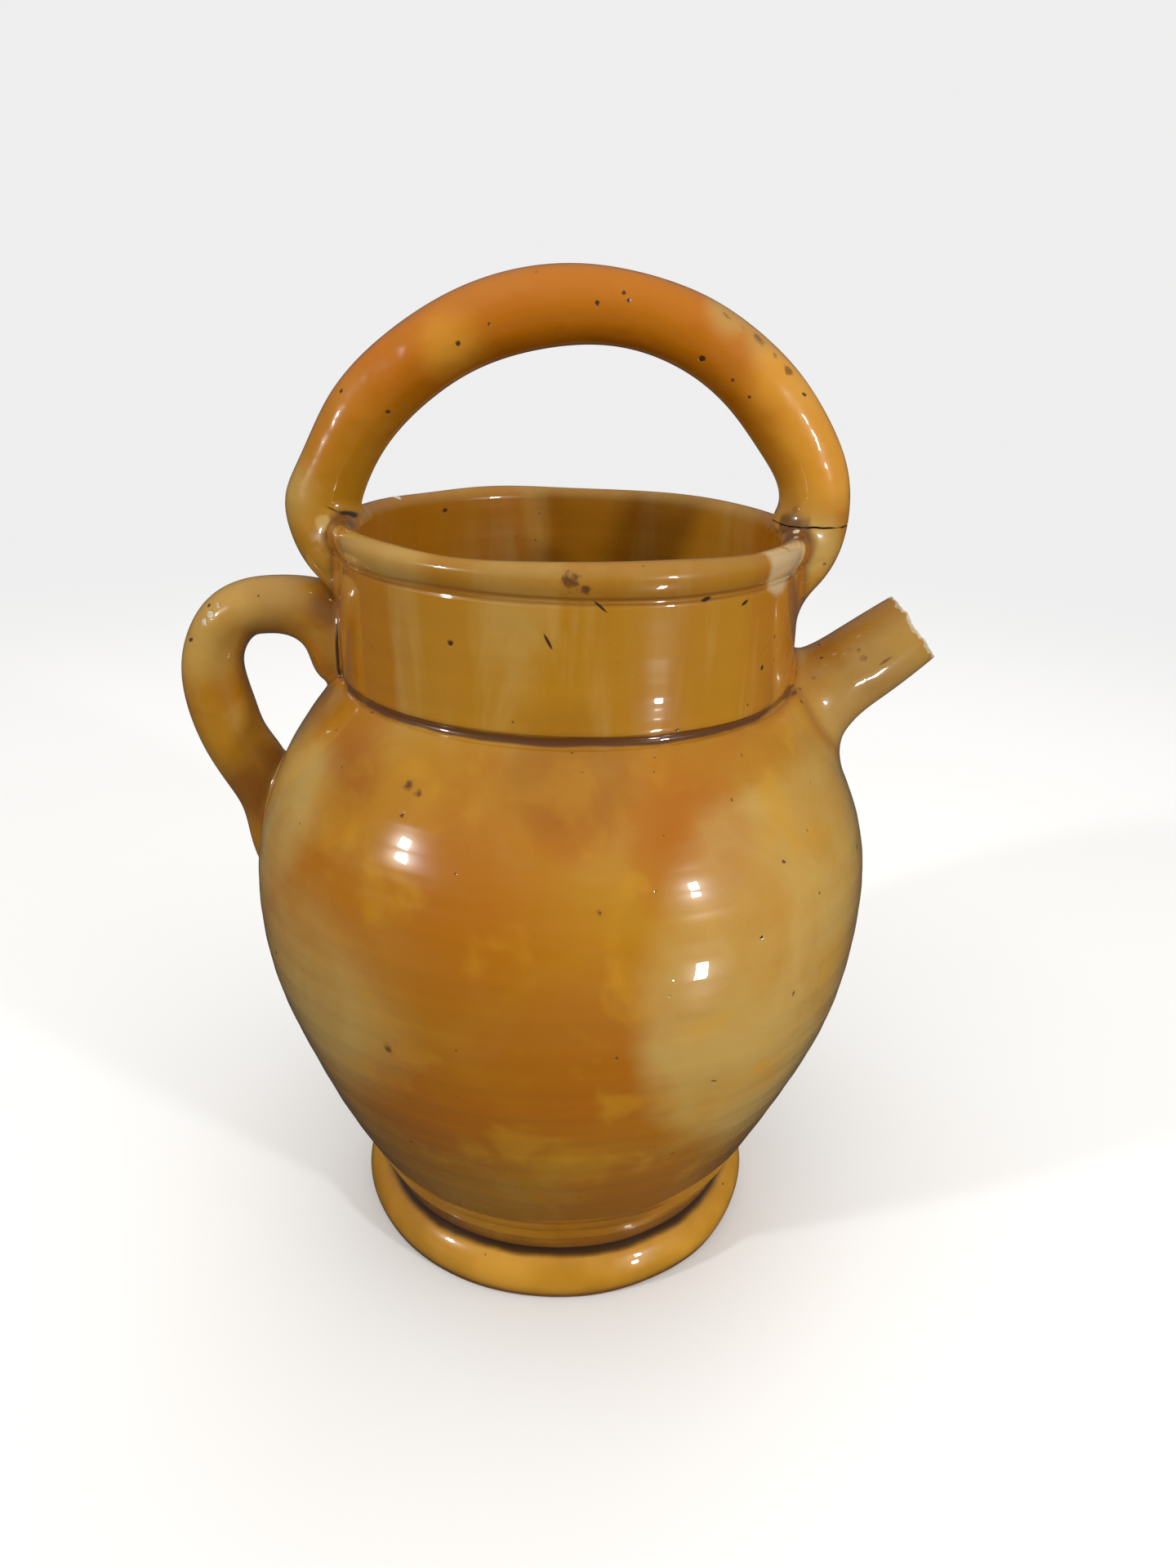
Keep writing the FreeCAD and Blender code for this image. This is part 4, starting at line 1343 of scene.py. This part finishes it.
def open_crack(mesh, handle, side):
    """Draws the cut edge back a little on the spout's side, so that the crack stands open."""
    on_plane = 0.02 * MM
    places = places_of(mesh)
    on_cut = (np.abs(places[:, 2] - handle.crack_height) < on_plane) & (places[:, 0] > 0)
    along = places[on_cut, 0] / MM
    wander = 0.12 * MM * np.sin(along / 1.9) + 0.08 * MM * np.sin(along / 0.7 + 1)
    places[on_cut, 2] += wander + side * handle.crack_gap / 2
    set_places(mesh, places)


class JUG_OT_pull_basket_handle(bpy.types.Operator):
    """Pull the basket handle and press its two roots on to the rim"""
    bl_idname = "jug.pull_basket_handle"
    bl_label = "Pull the basket handle"

    def execute(self, context):
        body, handle = context.scene.jug_body, context.scene.jug_handles
        stem = bail_stem(body, handle)
        whole = stem_mesh("Basket handle", stem, glaze("Handle glaze"), handle.steps_around)
        # The arch's underside takes painted shade
        join_stem(whole, stem, body, (0, 0, -1))
        above, below = (((0, 0, handle.crack_height), (0, 0, way)) for way in (1, -1))
        right, left = (((0, 0, 0), (way, 0, 0)) for way in (1, -1))
        pieces = (("Basket_arch", "bail_arch", (above,), 1),
                  ("Basket_root_right", "bail_root_right", (below, right), -1),
                  ("Basket_root_left", "bail_root_left", (below, left), 0))
        for name, node, planes, crack_side in pieces:
            mesh = cut(whole, planes)
            if crack_side:
                open_crack(mesh, handle, crack_side)
            make_piece(name, mesh, (node,))
        bpy.data.meshes.remove(whole)
        return {"FINISHED"}


class JUG_OT_pull_side_handle(bpy.types.Operator):
    """Pull the side handle, press its upper end on to the neck and smear its tail down the belly"""
    bl_idname = "jug.pull_side_handle"
    bl_label = "Pull the side handle"

    def execute(self, context):
        body, handle = context.scene.jug_body, context.scene.jug_handles
        stem = side_handle_stem(body, handle)
        whole = stem_mesh("Side handle whole", stem, glaze("Handle glaze"), handle.steps_around)
        # The side that faces the belly and the floor takes painted shade
        join_stem(whole, stem, body, (0.8, 0, -0.6))
        outward, inward = (((handle.upper_joint, 0, 0), (way, 0, 0)) for way in (-1, 1))
        above, below = (((0, 0, handle.lower_joint), (0, 0, way)) for way in (1, -1))
        pieces = (("Side_handle", "side_handle", (outward, above)),
                  ("Side_handle_upper_joint", "side_handle_upper_joint", (inward, above)),
                  ("Side_handle_lower_joint", "side_handle_lower_joint", (below,)))
        for name, node, planes in pieces:
            make_piece(name, cut(whole, planes), (node,))
        bpy.data.meshes.remove(whole)
        return {"FINISHED"}


def spout_tube_rows(spout):
    """Rings of the tube from inside the wall, over the broken end and down the bore."""
    start, end, hole, fine = -6 * MM, spout.tube_length, 5.2 * MM, 4 * MM
    outer = np.concatenate((np.linspace(start, end - fine, 50), np.linspace(end - fine, end, 40)[1:]))
    bore_end, step_end = (spout.bore_radius, end), (spout.bore_radius, spout.bore_step)
    return ring_list(np.c_[tube_radius(outer, spout), outer], line((spout.tip_radius, end), bore_end, 8),
                     line(bore_end, step_end, 29), line(step_end, (hole, spout.bore_step), 2),
                     line((hole, spout.bore_step), (hole, start), 6),
                     line((hole, start), (tube_radius(start, spout), start), 3)[:-1])


def spout_collar_rows(spout):
    """Rings of the smoothed clay: its outer face, and an inner face just under the tube's skin."""
    under, thinnest = 0.25 * MM, 0.5 * MM
    outer = np.linspace(-COLLAR_DEPTH, spout.collar_reach, 60)
    outer_rows = np.c_[collar_radius(outer, spout), outer]
    outer_rows[-4:, 0] -= np.linspace(0, under, 4)
    inner = np.linspace(spout.collar_reach, -COLLAR_DEPTH, 30)
    inner_rows = np.c_[tube_radius(inner, spout) - under - thinnest, inner]
    return ring_list(outer_rows, inner_rows, line(inner_rows[-1], outer_rows[0], 3)[:-1])


# Waves of the broken end: height, waves round the tube, radians per millimetre outward and phase
BREAK_WAVES = ((0.30, 3, 0, 0.6), (0.22, 7, 0, 2.1), (0.16, 13, 1, 0), (0.12, 23, 2, 0), (0.10, 31, -3, 0))


def break_tip(places, spout):
    """The rough, stepped surface of the broken end, in the spout's own frame."""
    mean_height, depth_share, reach = 0.9, 0.62, 5 * MM
    around, radius = np.arctan2(places[:, 1], places[:, 0]), radius_of(places) / MM
    rough = sum(height * np.sin(waves * around + outward * radius + phase)
                for height, waves, outward, phase in BREAK_WAVES)
    near_tip = smooth_step(places[:, 2], spout.tube_length - reach, spout.tube_length)
    moved = places.copy()
    moved[:, 2] -= near_tip * spout.fracture * (mean_height + rough) * depth_share
    return moved


def chipped_bare(places, spout):
    """How bare the clay is beyond the glaze's chipped edge, in the spout's own frame."""
    around = np.arctan2(places[:, 1], places[:, 0])
    chipped = 0.5 + 1.9 * np.clip(np.cos(around - 0.5), 0, 1) ** 3
    chipped += 0.35 * np.sin(9 * around) + 0.25 * np.sin(23 * around)
    edge = spout.tube_length - np.clip(chipped, 0.25, None) * MM
    return smooth_step(places[:, 2], edge - 0.15 * MM, edge + 0.15 * MM)


def place_on_spout(mesh, body, spout):
    """Turns a mesh made about Z on to the spout's axis."""
    start, forward = spout_frame(body, spout)
    set_places(mesh, start + places_of(mesh) @ np.array((np.cross(ACROSS, forward), ACROSS, forward)))


class JUG_OT_lute_spout(bpy.types.Operator):
    """Make the broken tube of the spout and the clay smoothed round its foot"""
    bl_idname = "jug.lute_spout"
    bl_label = "Lute the spout"

    def execute(self, context):
        body, spout = context.scene.jug_body, context.scene.jug_spout
        skin, depth_in_wall = 0.1 * MM, 3 * MM
        start, forward = spout_frame(body, spout)
        pieces = (("Spout_tube", spout_tube_rows, "spout_tube"),
                  ("Spout_root", spout_collar_rows, "spout_root"))
        for name, rows, node in pieces:
            points = [(r, 0.0, z) for r, z in rows(spout)]
            mesh = shaped_mesh(name, points, group("Turned clay"), spout.steps_around, glaze("Spout glaze"))
            places = places_of(mesh)
            radius = radius_of(places)
            bore = radius < spout.bore_radius + skin
            bare = chipped_bare(places, spout) * ~bore
            if node == "spout_tube":
                set_places(mesh, break_tip(places, spout))
            place_on_spout(mesh, body, spout)
            places, normals = places_of(mesh), normals_of(mesh)
            seam = np.zeros(len(places))
            if node == "spout_root":
                outer = radius > tube_radius((places - start) @ forward, spout) - skin
                blended_places, blended_normals, close = blend_joint(places, normals, outline_of_body(body),
                                                                     spout_stem(body, spout), True)
                places = tuck_in(np.where(outer[:, None], blended_places, places), body, depth_in_wall)
                normals = np.where(outer[:, None], blended_normals, normals)
                seam = close * outer
            set_places(mesh, places)
            # Upward faces and the bore take deeper orange
            hollow = smooth_step(normals[:, 2], 0.35, 0.9) * 0.6 + bore * 0.4
            set_amounts(mesh, bare=bare, seam=seam, hollow=hollow)
            work_by_hand(mesh, normals)
            make_piece(name, mesh, (node,))
        return {"FINISHED"}


# Floor, light and camera

def axes_facing(azimuth, elevation):
    """Right, up and back axes of an object that faces the middle from a direction in degrees."""
    a, e = math.radians(azimuth), math.radians(elevation)
    back = np.array((math.sin(a) * math.cos(e), -math.cos(a) * math.cos(e), math.sin(e)))
    right = unit(np.cross((0, 0, 1), back))
    return right, np.cross(back, right), back


def put_at(thing, place, right, up, back):
    """Puts an object at a place with these axes."""
    thing.matrix_world = Matrix.Translation(place) @ Matrix((right, up, back)).transposed().to_4x4()


def ray(tree, kind):
    """One where the ray is of a kind, such as Camera, and nought elsewhere."""
    return add(tree, "ShaderNodeLightPath").outputs["Is %s Ray" % kind]


def add_window(name, target, azimuth, elevation, distance, width, height, power):
    """A soft lamp that faces a target in millimetres from an azimuth and elevation in degrees."""
    lamp = bpy.data.lights.new(name, "AREA")
    lamp.shape = "RECTANGLE"
    lamp.size, lamp.size_y, lamp.energy = width, height, power
    holder = bpy.data.objects.new(name, lamp)
    bpy.context.scene.collection.objects.link(holder)
    right, up, back = axes_facing(azimuth, elevation)
    put_at(holder, np.array(target) * MM + back * distance, right, up, back)
    holder.visible_camera = False
    return holder


# Windows: name, target, azimuth, elevation, distance, width, height and share of the power
WINDOWS = (
    ("Window left", (-36, -69, 145), -62, 22, 1.5, 0.10, 0.14, 1.0),
    ("Window right", (30, -75, 139), 48.6, 16, 1.5, 0.10, 0.16, 1.0),
    ("Window low", (31, -80, 119), 47, -18, 0.26, 0.022, 0.05, 0.02),
)
# Soft lamps that the glaze doesn't mirror
SOFT_LAMPS = (
    ("Overhead", (0, 0, 150), -20, 70, 1.6, 1.2, 1.2, 0.4),
    ("Fill", (0, 0, 150), 72, -2, 1.6, 1.2, 1.2, 0.5),
    ("Back fill", (0, 0, 150), 170, 25, 1.6, 1.2, 1.2, 0.6),
)


def lay_floor(stage):
    """A wide floor that fades into the pale backdrop and keeps the jug's shadow."""
    mesh = bpy.data.meshes.new("Floor_plane")
    half = 6.0
    corners = [(-half, -half, 0), (half, -half, 0), (half, half, 0), (-half, half, 0)]
    mesh.from_pydata(corners, [], [(0, 1, 2, 3)])
    floor = bpy.data.objects.new("Floor_plane", mesh)
    bpy.context.scene.collection.objects.link(floor)
    material = bpy.data.materials.new("Pale floor")
    material.use_nodes = True
    tree = material.node_tree
    shader = tree.nodes["Principled BSDF"]
    base = stage.floor_colour
    cloud = ramp(tree, noise(tree, jug_place(tree), 3.0, 3.0), 0.3, 0.7)
    seen = ray(tree, "Camera")
    dim, mirrored = tinted(base, stage.floor_bounce), tinted(base, stage.floor_mirrored)
    unseen = mix(tree, ray(tree, "Glossy"), dim, mirrored)
    shown = mix(tree, cloud, base, tinted(base, 0.97))
    tree.links.new(mix(tree, seen, unseen, shown), shader.inputs["Base Color"])
    shader.inputs["Roughness"].default_value = 0.6
    shader.inputs["Specular IOR Level"].default_value = 0.1
    glow = add(tree, "ShaderNodeEmission", {0: (1, 1, 1, 1), 1: stage.backdrop})
    far = times(tree, ramp(tree, length_of(tree, jug_place(tree)), 0.22, 1.1), seen)
    blend = add(tree, "ShaderNodeMixShader", {0: far, 1: shader.outputs[0], 2: glow.outputs[0]})
    tree.links.new(blend.outputs[0], tree.nodes["Material Output"].inputs[0])
    mesh.materials.append(material)


def hang_lights(stage):
    """Even light from the world, two windows and their soft fill."""
    world = bpy.data.worlds.new("Even light")
    world.use_nodes = True
    tree = world.node_tree
    background = tree.nodes["Background"]
    rise = part_of(tree, add(tree, "ShaderNodeTexCoord").outputs["Generated"], 2)
    sky = ramp(tree, rise, -0.1, 0.9, 0.45 * stage.sky, 1.25 * stage.sky)
    sky = times(tree, sky, ramp(tree, ray(tree, "Glossy"), 0.0, 1.0, 1.0, stage.reflected))
    links = {0: ray(tree, "Camera"), 2: sky, 3: stage.backdrop}
    strength = add(tree, "ShaderNodeMix", links, data_type="FLOAT").outputs[0]
    background.inputs["Color"].default_value = (1.0, 1.0, 1.0, 1)
    tree.links.new(strength, background.inputs["Strength"])
    bpy.context.scene.world = world
    for name, *place_and_size, power_share in WINDOWS + SOFT_LAMPS:
        lamp = add_window(name, *place_and_size, stage.window * power_share)
        lamp.visible_glossy = name.startswith("Window")


def place_camera(scene, stage):
    """The camera, where it stood for the photo."""
    azimuth, elevation, roll, place = -1.27, 22.36, math.radians(1.89), (0, -304.5 * MM, 260 * MM)
    right, up, back = axes_facing(azimuth, elevation)
    turned_right = math.cos(roll) * right + math.sin(roll) * up
    turned_up = math.cos(roll) * up - math.sin(roll) * right
    lens = bpy.data.cameras.new("Camera")
    lens.sensor_width = 36
    lens.lens = stage.focal
    lens.clip_start = 0.01
    camera = bpy.data.objects.new("Camera", lens)
    scene.collection.objects.link(camera)
    put_at(camera, place, turned_right, turned_up, back)
    scene.camera = camera


class JUG_OT_set_stage(bpy.types.Operator):
    """Lay the pale floor, hang the lamps and set up the camera"""
    bl_idname = "jug.set_stage"
    bl_label = "Set the stage"

    def execute(self, context):
        stage = context.scene.jug_stage
        lay_floor(stage)
        hang_lights(stage)
        place_camera(context.scene, stage)
        context.scene.view_settings.view_transform = "Standard"
        return {"FINISHED"}


class JUG_PT_panel(bpy.types.Panel):
    """Lists the steps that make the jug"""
    bl_label = "Jug"
    bl_idname = "JUG_PT_panel"
    bl_space_type = "VIEW_3D"
    bl_region_type = "UI"
    bl_category = "Jug"

    def draw(self, context):
        for step in STEPS:
            self.layout.operator(step.bl_idname)


STEPS = (JUG_OT_throw_body, JUG_OT_pull_basket_handle, JUG_OT_pull_side_handle, JUG_OT_lute_spout,
         JUG_OT_set_stage)
SETTINGS = {"jug_body": JugBodySizes, "jug_handles": JugHandleSizes, "jug_spout": JugSpoutSizes,
            "jug_finish": JugFinish, "jug_stage": JugStage}


def register():
    for settings in SETTINGS.values():
        bpy.utils.register_class(settings)
    for name, settings in SETTINGS.items():
        setattr(bpy.types.Scene, name, PointerProperty(type=settings))
    for step in STEPS:
        bpy.utils.register_class(step)
    bpy.utils.register_class(JUG_PT_panel)


def unregister():
    bpy.utils.unregister_class(JUG_PT_panel)
    for step in reversed(STEPS):
        bpy.utils.unregister_class(step)
    for name in SETTINGS:
        delattr(bpy.types.Scene, name)
    for settings in reversed(SETTINGS.values()):
        bpy.utils.unregister_class(settings)


def main():
    register()
    bpy.ops.jug.set_stage()
    bpy.ops.jug.throw_body()
    bpy.ops.jug.pull_basket_handle()
    bpy.ops.jug.pull_side_handle()
    bpy.ops.jug.lute_spout()


if __name__ == "__main__":
    main()
